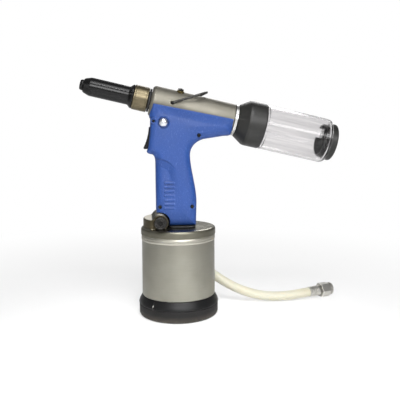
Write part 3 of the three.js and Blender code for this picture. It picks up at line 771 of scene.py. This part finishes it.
def wire(name, points, radius, finish, resolution=6, as_mesh=False):
    """A round wire or hose along a line of points, made as a curve or, when asked, as a mesh."""
    data = bpy.data.curves.new(name, "CURVE")
    data.dimensions = "3D"
    data.bevel_depth = radius * MM
    data.bevel_resolution = resolution
    data.use_fill_caps = True
    spline = data.splines.new("POLY")
    spline.points.add(len(points) - 1)
    spline.points.foreach_set("co", np.hstack([points * MM, np.ones((len(points), 1))]).ravel())
    spline.use_smooth = True
    data.materials.append(FINISH[finish])
    if as_mesh:
        curve = bpy.data.objects.new(name, data)
        bpy.context.scene.collection.objects.link(curve)
        data = bpy.data.meshes.new_from_object(curve)
        bpy.data.objects.remove(curve)
    return add_piece(name, data)


OUTLET = Vector((0.55, 0, -0.835)).normalized()
ELBOW = Vector((INLET_X, 46.5, PORT_Z))
ELBOW_RADIUS = 4.2


def from_elbow(distance):
    return tuple(ELBOW + OUTLET * distance)


HOSE_ROUTE = [
    from_elbow(20.6), from_elbow(27), from_elbow(34),
    (10.9, 46.6, 59), (17.3, 45.7, 50.4), (24.5, 43.4, 42.6), (32.4, 40, 35.4), (40.9, 36.3, 28.7),
    (50, 32.6, 22.8), (59.5, 29.2, 17.6), (69.7, 26.4, 13.1), (80.3, 24, 9.6), (91.3, 22.2, 7.2),
    (102.6, 21.1, 5.9), (114, 20.8, 5.6), (125.5, 21.4, 6), (136.7, 23.3, 6.8), HOSE_END,
]


# ---------------------------------------------------------------- hose
def crimps(crest, root, starts, ramp, flat=0.8):
    """The rings pressed into a ferrule: each falls along a ramp, runs flat and rises again."""
    steps = ((crest, 0), (root, ramp), (root, ramp + flat), (crest, 2 * ramp + flat))
    return [(radius, start + step) for start in starts for radius, step in steps]


def make_hose():
    hose = wire("hose_line", smooth_route(HOSE_ROUTE), HOSE_RADIUS, "hose_ivory", resolution=12)
    outlet = frame_at(from_elbow(0), OUTLET, up=(0, 1, 0))
    upper = turned("inlet_ferrule_crimped", [
        (4.4, 8.3), (5.2, 8.3), (5.6, 8.8), *crimps(5.6, 5.1, (9.6, 12.6, 15.6), 0.5),
        (5.6, 19.7), (5.3, 20.3), (4.4, 20.3),
    ], "zinc_steel", outlet, 64, 0.25)
    way = (math.cos(HOSE_END_TURN), math.sin(HOSE_END_TURN), 0)
    end = frame_at(HOSE_END, way)
    ferrule = turned("hose_ferrule_crimped", [
        (0, 0.3), (5.1, 0.3), (5.4, 0.7), *crimps(5.4, 4.8, (2.4, 4.9, 7.4, 9.9), 0.4),
        (5.4, 14), (4.6, 15.2), (0, 15.2),
    ], "zinc_steel", end, 64, 0.22)

    def nut(x, y, z):
        across = hexagon(y, z, 7.0, math.pi / 2)
        radial = np.hypot(y, z)
        cone = np.maximum(radial - 7.75 - (x - 15.9) * 1.2, radial - 7.75 - (26.4 - x) * 1.2)
        collar = meet(radial - 6.9, span(x, 26, 31, 0.5), 0.6)
        body = meet(meet(across, cone, 0.3), span(x, 15.5, 26.6, 0.5), 0.5)
        body = join(body, collar, 0.5)
        groove = np.maximum(5.9 - radial, np.abs(x - 28.4) - 0.5)
        body = carve(body, groove, 0.3)
        bore = np.maximum(radial - 4.2 - np.maximum(0, x - 30.2), 20 - x)
        return carve(body, bore, 0.4)

    nut_piece = shaped("hose_nut_hex", nut, (15.5, -8.2, -8.2), (31, 8.2, 8.2), 0.3, "zinc_steel", end)

    def elbow(x, y, z):
        leg = rod(x, z, INLET, ELBOW_RADIUS)
        inner = np.maximum(np.maximum(leg + 0.2, 14 - y), y - 26)
        corner = tuple(ELBOW)
        level = capsule(x, y, z, (INLET_X, 30, PORT_Z), corner, ELBOW_RADIUS)
        falling = capsule(x, y, z, corner, from_elbow(4), ELBOW_RADIUS)
        bend = join(level, falling, 2)
        u = (x - INLET_X) * OUTLET[0] + (z - PORT_Z) * OUTLET[2]
        off = np.sqrt(np.maximum((x - INLET_X) ** 2 + (z - PORT_Z) ** 2 - u * u, 0) + (y - ELBOW.y) ** 2)
        stub = span(u, 0, 8, 0.3)
        tail = np.maximum(off - ELBOW_RADIUS, stub)
        hexes = meet(hexagon(x - INLET_X, z - PORT_Z, 5.1), span(y, 24.4, 30, 0.4), 0.6)
        collar = meet(off - 4.8, span(u, 5.6, 7.9, 0.4), 0.5)
        return join(join(join(join(inner, bend, 0.2), hexes, 0.6), tail, 0.4), collar, 0.4)

    shaped("inlet_elbow_cast", elbow, (-20, 14, 88), (-3, 51.5, 102), 0.4, "zinc_steel")


# ---------------------------------------------------------------- air cylinder, cup and cap
def make_cup_and_tube():
    def seam(angle, along):
        """The moulding mark up the cup's upper band."""
        aside = CUP_RADIUS * np.sin(angle - SEAM) + (np.cos(angle - SEAM) < 0) * CUP_RADIUS
        return 0.4 * np.exp(-((aside / 0.55) ** 2)) * (12.2 < along < 19.5)

    turned("base_cup_moulded", [
        (0, 1), (27, 1, 0.5), (28, 0), (38, 0, 1.2), (39.7, 0.7, 1.2), (40.5, 2.4, 1.5), (40.6, 11.3, 0.4),
        (40.15, 11.9, 0.2), (40.2, 12.3, 0.2), (41, 12.9, 0.4), (CUP_RADIUS, 15, 2), (38.6, 18.4, 2),
        (37.5, CUP_TOP, 0.6), (36.8, CUP_TOP), (36.8, 5), (0, 5),
    ], "cup_rubber", UPRIGHT, 360, 0.4, seam)

    turned("air_cylinder_tube", [
        (CYLINDER_BORE, 5.3), (36.5, 5.3), (36.5, 20.8), (37.2, 20.8, 0.2), (CYLINDER_RADIUS, 21.3, 0.3),
        (CYLINDER_RADIUS, LIP_FOOT, 0.8), (38, 77.9, 0.8), (38, CYLINDER_TOP, 0.1),
        (CYLINDER_BORE, CYLINDER_TOP),
    ], "anodised_cylinder", UPRIGHT, 192, 0.3)


def make_cap():
    def cap(x, y, z):
        radial = np.hypot(x, y)
        disc = meet(radial - CAP_RADIUS, z - CAP_TOP, 3)
        disc = meet(disc, CAP_DISC_FOOT - z, 0.5)
        band = meet(radial - CYLINDER_RADIUS - 0.5 + 0.3 * np.maximum(z - 80.6, 0), 79.1 - z, 0.15)
        disc = join(disc, np.maximum(band, z - 84), 0.3)
        spigot = np.maximum(np.maximum(radial - 34.7, 73 - z), z - 80)
        body = join(disc, spigot, 0.3)
        shelf = meet(radial - SHELF_RADIUS, z - SHELF_TOP, 1.8)
        shelf_width = span(y, SHELF_FRONT, SHELF_BACK, 0.5)
        shelf = meet(meet(shelf, x - PORT_X, 0.5), shelf_width, 1.2)
        shelf = np.maximum(shelf, 88 - z)
        housing = meet(rod(x, z, PORT, PORT_HOUSING), shelf_width, 1.2)
        inlet = brick(x, y, z, (PORT_X - 2, 12, 88), (-6, SHELF_BACK, PORT_Z + 6.2), 1.2)
        body = join(body, join(join(shelf, housing, 1.2), inlet, 0.8), 1.2)
        plug_bore = np.maximum(rod(x, z, PORT, PORT_BORE), y - 8)
        inlet_bore = np.maximum(rod(x, z, INLET, PORT_BORE), 13.5 - y)
        body = carve(body, np.minimum(plug_bore, inlet_bore), 0.5)
        return carve(body, radial - NECK_RADIUS, 0.6)

    shaped("cylinder_cap_cast", cap, (-39, -39, 73), (39, 39, 104), 0.55, "anodised_cap")


def make_gasket():
    def gasket(x, y, z):
        plate = np.maximum(np.maximum(-10 - x, x - 17), np.abs(y) - 17)
        plate = meet(plate, np.maximum(-x - y - 24.4, x - y - 31.4), 3)
        corner = np.maximum(x + 5.4, 11.6 - y)
        plate = carve(plate, corner, 0.6)
        plate = meet(plate, span(z, 90.3, 92, 0.3), 0.5)
        return carve(plate, np.hypot(x, y) - NECK_RADIUS - 0.3, 0.3)

    shaped("foot_gasket_cut", gasket, (-10, -17, 90.3), (17, 17, 92), 0.35, "seal_rubber")


def make_port_plug():
    def plug(x, y, z):
        u, v = x - PORT_X, z - PORT_Z
        radial, angle = np.hypot(u, v), np.arctan2(v, u)
        knurl = 0.22 * (np.abs(np.sin(14 * angle + 1.3 * y)) + np.abs(np.sin(14 * angle - 1.3 * y)) - 1.1)
        side = radial - 6.15 + knurl * ((y > -25.1) & (y < -22))
        head = meet(side, span(y, -25.4, -21.8, 0.3), 0.7)
        shaft = np.maximum(radial - 4, span(y, -23, -10, 0.3))
        body = join(head, shaft, 0.2)
        dish = np.maximum(radial - 4.5, y + 24.7)
        socket = np.maximum(hexagon(u, v, 2.4), y + 21)
        return carve(carve(body, dish, 0.4), socket, 0.2)

    shaped("port_plug_knurled", plug, (-25.5, -25.4, 90), (-12.6, -10, 102.7), 0.25, "oxide_steel")


# ---------------------------------------------------------------- head
def at_bleed_screw():
    """A frame whose X stands out from the barrel where the bleed screw is."""
    out = (SIN * math.cos(BLEED_ANGLE), -math.sin(BLEED_ANGLE), COS * math.cos(BLEED_ANGLE))
    along = (COS, 0, -SIN)
    foot = HEAD[:, 3] + np.array(along) * BLEED_PLACE
    return frame_at(foot, out, up=along)


def make_nose():
    def nosepiece(s, y, r):
        radial = np.hypot(y, r)
        cone = radial - 5.1 - (s - 0.4) * 0.36
        flats = meet(hexagon(y, r, 5.45, math.pi / 6), cone, 0.4)
        tip = radial - 4.6 - (s + 0.3) * 0.85
        flange = meet(meet(flats, tip, 0.4), span(s, -0.3, 3, 0.3), 0.3)
        shank = np.maximum(radial - 4.6, np.maximum(2.5 - s, s - 12))
        pilot = np.maximum(radial - 2.9, np.maximum(11 - s, s - 16.6))
        body = join(join(flange, shank, 0.3), pilot, 0.3)
        lead = np.maximum(radial - 1.9 - np.maximum(0, 0.5 - (s + 0.3)), -1 - s)
        return carve(body, lead, 0.2)

    low, high = (-0.3, -6.2, -6.2), (16.6, 6.2, 6.2)
    shaped("nosepiece_hex", nosepiece, low, high, 0.25, "black_steel", HEAD)

    turned("nose_housing_black", [
        (4.9, 3.3), (6.6, 3.3, 0.3), (7.4, 4.4, 0.6), (9.3, 9.8, 2.5), (9.4, 13, 2), (9.4, 49.4, 1.2),
        (10.4, 50.6, 1.2), (12, 52.3, 0.8), (12.3, 53.9, 0.3), (9, 53.9), (9, 84.2),
        (7, 84.2), (7, 12), (4.9, 12),
    ], "black_steel", sides=128)
    line = ((12.7, 0, 0.12), (12.5, 0.25, 0.1), (12.7, 0.5, 0.12))
    lines = [(radius, start + step, fillet) for start in (56, 66.8) for radius, step, fillet in line]
    turned("head_nut_brushed", [
        (9.3, 54.2), (12.1, 54.2, 0.2), (12.7, 54.9, 0.3), *lines,
        (12.7, 68.5, 0.3), (12.1, 69.2, 0.2), (9.3, 69.2),
    ], "nickel_brass", sides=128)
    turned("head_seal_ring", ring(9.3, 12, 69.5, 71.7), "seal_rubber", fillet=0.8)


def make_head_body():
    def body(s, y, r):
        radial = np.hypot(y, r)
        barrel = meet(radial - BARREL_RADIUS, radial - BARREL_RADIUS + 1.8 - (s - 72) * 0.7, 0.8)
        barrel = meet(barrel, span(s, 72, 158.7, 0.5), 0.9)
        x = (s - HEAD_REACH) * COS + r * SIN
        z = -(s - HEAD_REACH) * SIN + r * COS + HEAD_AXIS_HEIGHT
        across = np.hypot(x, y)
        neck = meet(across - NECK_RADIUS + 0.3 * (z < 91.3), span(z, 84.5, 206, 0.4), 0.5)
        whole = join(barrel, neck, 3)
        chamber = np.minimum(radial - 6.8, np.maximum(radial - 13.5, 98 - s))
        chamber = np.minimum(chamber, np.maximum(radial - 9.3, s - 88))
        oil = np.minimum(np.maximum(across - 6.8, z - 168), np.maximum(across - 2.5, z - 203))
        u = s - BLEED_PLACE
        out = r * math.cos(BLEED_ANGLE) - y * math.sin(BLEED_ANGLE)
        aside = y * math.cos(BLEED_ANGLE) + r * math.sin(BLEED_ANGLE)
        bleed = np.hypot(u, aside)
        seat = np.minimum(np.maximum(bleed - 4.1, 15.4 - out), np.maximum(bleed - 2.4, 10 - out))
        hook = np.maximum(rod(s, r, HOOK_FOOT, 1.55), 12.6 - np.abs(y))
        whole = carve(carve(whole, chamber, 0.3), oil, 0.3)
        return carve(whole, np.minimum(seat, hook), 0.25)

    shaped("head_body_cast", body, (72, -16, -136), (158.7, 16, 16), 0.75, "anodised_barrel", HEAD)
    turned("rear_plug_ring", [
        (6.3, 149), (13.2, 149), (13.2, 159), (16.0, 159, 0.1), (16.2, 159.2), (16.2, 161.7), (16, 162, 0.1),
        (10, 162), (10, 171), (6.3, 171),
    ], "bright_steel", sides=128, fillet=0.2)


def make_bleed_screw():
    stand = at_bleed_screw()

    def knurled(angle, along):
        return 0.13 * np.sin(20 * angle) * (15.8 < along < 17.4)

    turned("bleed_washer_knurled", [
        (2.4, 15.6), (3.4, 15.6, 0.1), (3.45, 15.9, 0.1), (3.45, 16.6, 0.1),
        (3.45, 17.3, 0.1), (3.4, 17.6, 0.1), (2.4, 17.6),
    ], "olive_brass", stand, 240, 0.15, knurled)

    def screw(a, u, v):
        radial, angle = np.hypot(u, v), np.arctan2(v, u)
        ridges = 0.08 * np.cos(24 * angle) * ((a > 18) & (a < 18.8))
        head = meet(radial - 2.92 + ridges, span(a, 17.9, 19.3, 0.3), 0.5)
        shaft = np.maximum(radial - 2.1, np.maximum(14.2 - a, a - 18.5))
        socket = np.maximum(hexagon(u, v, 1.3), 18.3 - a)
        return carve(join(head, shaft, 0.2), socket, 0.15)

    shaped("bleed_screw_socket", screw, (14.2, -3.1, -3.1), (19.3, 3.1, 3.1), 0.15, "oxide_steel", stand)


def make_hook():
    foot_s, foot_r = HOOK_FOOT
    side = [
        (foot_s, 13.2, foot_r), (foot_s, 16.4, foot_r), (94.5, 17.6, 2.4), (97.5, 17.8, 4.1),
        (108, 17.8, 10), (118.5, 17, 16), (122.5, 13, 18.6), (125.4, 6.5, 20.6),
    ]
    line = side + [(126.3, 0, 21.1)] + [(s, -y, r) for s, y, r in reversed(side)]
    wire("hook_wire", moved(smooth_route(line), HEAD), HOOK_WIRE, "oxide_steel")


def make_collector():
    turned("collector_collar_moulded", [
        (10.3, 162.3), (16, 162.3, 0.3), (16.8, 163.2, 0.5), (23, 172.8, 1.6), (23.5, 175.4, 1.5),
        (23.5, 189.6, 0.3), (22.9, 190.8, 0.5), (21.5, 191, 0.2), (21.5, 178), (10.3, 178),
    ], "moulded_black", sides=160)
    turned("bottle_seal_ring", ring(17, 21.2, 178.3, 180), "seal_rubber", fillet=0.7)
    turned("bottle_clear", [
        (19.2, 180.3), (21.2, 180.3), (21.2, 191.4), (22.5, 191.4, 0.2), (BOTTLE_RADIUS, 192.2),
        (BOTTLE_RADIUS, 258.2, 1.2), (22.3, 260.6, 0.8), (21.2, 261, 0.3), (17.6, 261, 0.3), (17.6, 259),
        (20.2, 259, 0.4), (21.2, 257.6, 0.8), (21.2, 193.6), (19.2, 191.6),
    ], "clear_bottle", sides=160)


def make_end_cap():
    def end_cap(s, y, r):
        radial = np.hypot(y, r)
        thread = 0.45 * np.cos(2 * math.pi * s / THREAD_PITCH) * ((s > 255.2) & (s < 261))
        wall = np.maximum(radial - 16.9 + thread, 15.2 - radial)
        basket = meet(wall, span(s, 254.5, 264, 0.4), 0.4)
        rim = meet(radial - 19.3, span(s, 261.3, END_CAP_END, 0.4), 1.4)
        dish = meet(radial - 15.6, END_CAP_END - 0.8 - s, 0.5)
        knob = meet(radial - 6, span(s, 265, END_CAP_END - 0.2, 0.3), 0.6)
        rim = carve(rim, np.maximum(radial - 15.2, s - 263.6), 0.4)
        rim = join(carve(rim, dish, 0.6), knob, 0.5)
        window = meet(span(r, 3.2, 13, 0.3), s - 261.4, 1.0)
        return carve(join(basket, rim, 0.5), window, 0.4)

    low, high = (254.5, -19.5, -19.5), (END_CAP_END, 19.5, 19.5)
    shaped("end_cap_basket", end_cap, low, high, 0.35, "moulded_black", HEAD)


# ---------------------------------------------------------------- handle
HANDLE_OUTLINE = (
    [(-25.1, 215.3), (-28.6, 204.6), (-31.8, 167)]
    + curve_points([(-31.8, 167), (-31.2, 165), (-26.2, 164.4)], 5)
    + curve_points([(-26.2, 164.4), (-23, 162.4), (-23, 155)])
    + [(-22.6, SHELL_FOOT), (17.4, SHELL_FOOT), (18, 112)]
    + curve_points([(18, 112), (18.9, 130), (12.3, 146), (11.7, 163)], 18)
    + curve_points([(11.7, 163), (11.7, 172), (18, 177.6), (26, 179.6)], 18)
    + [(53.2, 183.7), (56.5, 199.3)]
)
SCREWS = {
    "handle_screw_upper": (20.5, 183.2, 3.2),
    "handle_screw_front": (-19.2, 111.7, 2.5),
    "handle_screw_rear": (13.2, 111.6, 3.2),
}
RIB_X, RIB_BOTTOM, RIB_PITCH, RIB_COUNT = -9.4, 110, 4.3, 7
DIP_X, DIP_Z, DIP_RADIUS = -22, 138, 22.5


def ease(t):
    """Runs smoothly from 0 to 1."""
    t = np.clip(t, 0, 1)
    return t * t * (3 - 2 * t)


def with_openings(body, x, y, z, side):
    """Cuts the trigger's slot and recess, the arch over the port housing and room for the inlet block."""
    slot = brick(x, y, z, (-45, -20, 167.8), (-14, TRIGGER_HALF + 0.5, 203), 0.8)
    body = carve(body, slot, 0.8)
    front = np.interp(z, [168.4, 174, 180, 186, 192, 201.6], [-31.7, -30.2, -29.2, -28.6, -28.3, -28.2])
    recess = meet(x - front, span(z, 168.4, 201.6, 2.0), 2.5)
    body = carve(body, recess, 2.0)
    arch = rod(x, z, PORT, PORT_HOUSING + 1.4)
    under = np.maximum(np.abs(x - PORT_X) - PORT_HOUSING - 1.4, z - PORT_Z)
    body = carve(body, np.minimum(arch, under), 1.0)
    if side < 0:
        return body
    inlet = np.maximum(np.maximum(x + 4.8, z - PORT_Z - 7.2), -y)
    return carve(body, inlet, 0.8)


def with_holes(body, x, y, z, side):
    """Adds the trigger pin's boss, and cuts the holes of the pin, the button and the screws."""
    pin = rod(x, z, TRIGGER_PIVOT, 1.5)
    pin_ring = meet(rod(x, z, TRIGGER_PIVOT, 3.1), y - 17.3, 0.6)
    body = join(body, np.maximum(pin_ring, 14 - y), 0.5)
    body = carve(body, np.minimum(pin, np.maximum(rod(x, z, TRIGGER_PIVOT, 2.1), 16.8 - y)), 0.4)
    if side < 0:
        hole = np.maximum(rod(x, z, BUTTON, BUTTON_RADIUS + 0.45), 8 - y)
        dish = meet(rod(x, z, BUTTON, BUTTON_RADIUS + 1.5), 16.9 - y, 0.4)
        body = carve(body, np.minimum(hole, dish), 0.5)
        for screw_x, screw_z, _ in SCREWS.values():
            shaft = rod(x, z, (screw_x, screw_z), 1.5)
            sink = np.maximum(rod(x, z, (screw_x, screw_z), 2.15), 15.4 - y)
            body = carve(body, np.minimum(shaft, sink), 0.35)
    else:
        for screw_x, screw_z, _ in SCREWS.values():
            body = carve(body, np.maximum(rod(x, z, (screw_x, screw_z), 1.5), y - 13), 0.3)
    return body


def handle(x, y, z, side):
    """One half of the handle: side is -1 for the left, where the button is, and 1 for the right."""
    y = y * side
    edge = outline_distance(HANDLE_OUTLINE, x, z)
    inside_dip = DIP_RADIUS - np.hypot(x - DIP_X, z - DIP_Z)
    dip = 0.3 * ease(inside_dip / 1.6) + 0.7 * np.clip(inside_dip / 8, 0, 1)
    dip = dip * ease((z - 116) / 40) * ease((-1 - x) / 10)
    crown = np.clip(1 + edge / 18, 0, 1) ** 2
    half = GRIP_HALF - 2.6 * dip - 1.5 * crown
    depth, across = 7.5, 5.0
    inwards = np.maximum(edge / depth + 1, 0)
    outwards = np.maximum((y - half) / across + 1, 0)
    slab = (np.hypot(inwards, outwards) - 1) * across
    slab = np.where((inwards > 0) | (outwards > 0), slab, -across)
    slab = np.maximum(slab, edge)

    s, r = to_head(x, z)
    radial = np.hypot(y, r)
    (front_x, front_z), (rear_x, rear_z) = HANDLE_OUTLINE[0], HANDLE_OUTLINE[-1]
    run, fall = rear_x - front_x, front_z - rear_z
    top_line = ((x - front_x) * fall + (z - front_z) * run) / math.hypot(run, fall)
    saddle = radial - SADDLE_RADIUS + np.clip((s - 138) / 20, 0, 1) * 1.4
    saddle = meet(saddle, span(s, 75, 158, 0.5), 2.0)
    body = join(slab, saddle, 2.4)
    body = meet(body, top_line, 0.9)

    inner = meet(edge + SHELL_WALL + 1, y - half + 3.2, 6)
    body = carve(body, inner, 0.4)
    for screw_x, screw_z, boss in SCREWS.values():
        post = np.maximum(rod(x, z, (screw_x, screw_z), boss), y - 15.5)
        body = join(body, np.maximum(post, edge + 0.8), 0.6)

    if side < 0:
        for k in range(RIB_COUNT):
            bar_z = RIB_BOTTOM + k * RIB_PITCH
            bar = np.hypot(np.maximum(np.abs(x - RIB_X) - 4.2, 0), z - bar_z) - 1.05
            body = join(body, meet(bar, y - 17.75, 0.5), 0.35)

    body = carve(body, radial - BARREL_RADIUS - 0.3, 0.5)
    body = carve(body, np.maximum(np.hypot(x, y) - 9.9, z - 208), 0.3)
    body = with_openings(body, x, y, z, side)
    body = with_holes(body, x, y, z, side)
    body = meet(body, 0.15 - y, 0.5)
    return meet(body, SHELL_FOOT - z, 0.6)


def make_handle():
    for name, side in (("left", -1), ("right", 1)):
        low_y, high_y = sorted((0.15 * side, 18.7 * side))
        shaped(
            f"handle_{name}_moulded", lambda x, y, z: handle(x, y, z, side),
            (-32.5, low_y, SHELL_FOOT), (57.5, high_y, 216), 0.5, "moulded_blue")
    for name, (screw_x, screw_z, _) in SCREWS.items():
        def screw(x, y, z):
            u, v = x - screw_x, z - screw_z
            radial = np.hypot(u, v)
            head = meet(radial - 1.8, span(y, -16.3, -15.5, 0.2), 0.5)
            shaft = np.maximum(radial - 1.2, np.maximum(-15.7 - y, y - 12))
            socket = np.maximum(hexagon(u, v, 0.85), y + 15.7)
            return carve(join(head, shaft, 0.1), socket, 0.1)

        low, high = (screw_x - 2, -16.6, screw_z - 2), (screw_x + 2, 12, screw_z + 2)
        shaped(f"{name}_socket", screw, low, high, 0.16, "black_steel")


def make_trigger():
    outline = (
        [(TRIGGER_PIVOT[0] + 2.9 * math.cos(a), TRIGGER_PIVOT[1] + 2.9 * math.sin(a))
         for a in np.linspace(0, math.pi, 13)]
        + [(-27.6, 192.4), (-29.4, 192)]
        + curve_points([(-29.4, 192), (-30.2, 181), (-34.8, 171.6)])
        + curve_points([(-34.8, 171.6), (-35.5, 170), (-33.8, 169.6)], 5)
        + [(-30.8, 169.9)]
        + curve_points([(-30.8, 169.9), (-25, 180), (-24, 188)])
    )

    def trigger(x, y, z):
        edge = outline_distance(outline, x, z)
        grooves = 0.22 * np.clip(np.cos(2 * math.pi * y / 2.1), 0, 1) * (np.abs(y) < 4.8)
        grooves = grooves * ((z > 173.5) & (z < 190) & (x < -27.5))
        body = meet(edge + grooves, np.abs(y) - TRIGGER_HALF, 1.4)
        return carve(body, rod(x, z, TRIGGER_PIVOT, 1.5), 0.3)

    shaped("trigger_moulded", trigger, (-35.6, -6.3, 169.5), (-21.8, 6.3, 201), 0.3, "trigger_black")

    def across(at_x, at_z):
        return frame_at((at_x, 0, at_z), (0, 1, 0))

    pin = [(0, -16.6), (1.2, -16.6, 0.35), (1.2, 16.6, 0.35), (0, 16.6)]
    turned("trigger_pin_ground", pin, "black_steel", across(*TRIGGER_PIVOT), 32)
    angles = np.linspace(0, math.pi / 2, 16)[1:]
    dome = [(BUTTON_RADIUS * math.sin(a), -17.6 - 3.6 * math.cos(a)) for a in angles]
    turned("suction_button_chrome", [
        (0, -21.2), *dome, (BUTTON_RADIUS, -13), (2.5, -13), (2.5, -9), (0, -9),
    ], "chrome", across(*BUTTON), 72, 0.2)


# ---------------------------------------------------------------- inside
def make_inside():
    rim = CYLINDER_BORE - 0.3
    upright = {
        "end_plate": ([
            (0, 5.3), (rim, 5.3), (rim, 8), (32.4, 8), (32.4, 10.6), (rim, 10.6), (rim, 13.3), (0, 13.3),
        ], "ground_steel"),
        "end_plate_seal": (ring(32.7, rim, 8.3, 10.3), "seal_rubber"),
        "piston_bumper": (ring(10, 16, 13.6, 15.3), "seal_rubber"),
        "air_piston": ([
            (8.5, 15.7), (34.6, 15.7), (34.6, 19), (32.2, 19), (32.2, 22.4), (34.6, 22.4),
            (34.6, PISTON_TOP), (4.3, PISTON_TOP), (4.3, 19.9), (8.5, 19.9),
        ], "anodised_cylinder"),
        "air_piston_seal": (ring(32.5, rim, 19.3, 22.1), "seal_rubber"),
        "plunger": ([
            (0, 16.2), (4, 16.2), (4, PISTON_TOP + 0.3), (6.5, PISTON_TOP + 0.3),
            (6.5, 99), (5.5, 100), (0, 100),
        ], "ground_steel"),
        "plunger_gland": (ring(6.8, NECK_RADIUS - 0.3, 73.3, 81), "olive_brass"),
        "plunger_seal": (ring(6.8, NECK_RADIUS - 0.3, 81.3, 84.2), "seal_rubber"),
    }
    along_head = {
        "draw_piston": ([
            (2.8, 56.3), (4.6, 56.3), (4.6, 68.3), (6.5, 68.3), (6.5, 106), (13.2, 106), (13.2, 108.5),
            (11, 108.5), (11, 111.5), (13.2, 111.5), (13.2, 114), (6, 114), (6, 166), (2.8, 166),
        ], "bright_steel"),
        "draw_piston_seal": (ring(11.3, 13.25, 108.8, 111.2), "seal_rubber"),
        "rod_seal": (ring(6.8, 9, 84.5, 87.7), "seal_rubber"),
        "jaw_case": ([
            (3.3, 15), (6, 15), (6.7, 15.7), (6.7, 68), (4.9, 68), (4.9, 56), (5.4, 56), (5.4, 29),
            (3.3, 16),
        ], "oxide_steel"),
        "jaw_pusher": ([
            (2, 28.4), (4.2, 28.4), (4.7, 29.2), (4.7, 32), (3.5, 32), (3.5, 41), (2, 41),
        ], "ground_steel"),
    }
    for place, group in ((UPRIGHT, upright), (HEAD, along_head)):
        for node, (profile, finish) in group.items():
            turned(f"{node}_fine", profile, finish, place, 96, 0.25)


def make_valve():
    turned("valve_body_fine", ring(1.6, 5, -17.5, -10.2), "olive_brass", VALVE, 48, 0.3)
    turned("valve_stem_fine", [
        (0, -23.4), (2.2, -23.4), (2.2, -22.2), (1.3, -22.2), (1.3, -12.6), (0, -12.6),
    ], "ground_steel", VALVE, 48, 0.25)
    tube = UPRIGHT.copy()
    tube[0, 3] = -13.6
    turned("air_tube_fine", ring(1.2, 2.2, 104.4, 178.7), "seal_rubber", tube, 32, 0.2)


def make_springs():
    springs = {
        "return_spring": (9.8, 1.1, 116, 147, 5, HEAD),
        "jaw_spring": (4.4, 0.45, 33, 55, 6, HEAD),
        "valve_spring": (1.95, 0.3, -21.5, -18.2, 3, VALVE),
    }
    pressed = {
        "return_spring": ("draw_slide", DRAW_TRAVEL), "valve_spring": ("valve_stem_slide", STEM_TRAVEL),
    }
    for node, (radius, thick, start, end, turns, place) in springs.items():
        t = np.linspace(0, 1, turns * 28 + 1)
        angle = 2 * math.pi * turns * t
        coil = np.stack([start + (end - start) * t, radius * np.cos(angle), radius * np.sin(angle)], 1)
        spring = wire(f"{node}_wire", moved(coil, place), thick, "ground_steel", resolution=3, as_mesh=True)
        if node in pressed:
            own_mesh(spring)


def finish_kept_nodes():
    for node in ("jaw_1", "jaw_2", "jaw_3", "plunger_nut"):
        part = frame["nodes"][node]
        part.data.materials.clear()
        part.data.materials.append(FINISH["ground_steel"])


make_hose()
make_cup_and_tube()
make_cap()
make_gasket()
make_port_plug()
make_nose()
make_head_body()
make_bleed_screw()
make_hook()
make_collector()
make_end_cap()
make_handle()
make_trigger()
make_inside()
make_valve()
make_springs()
finish_kept_nodes()
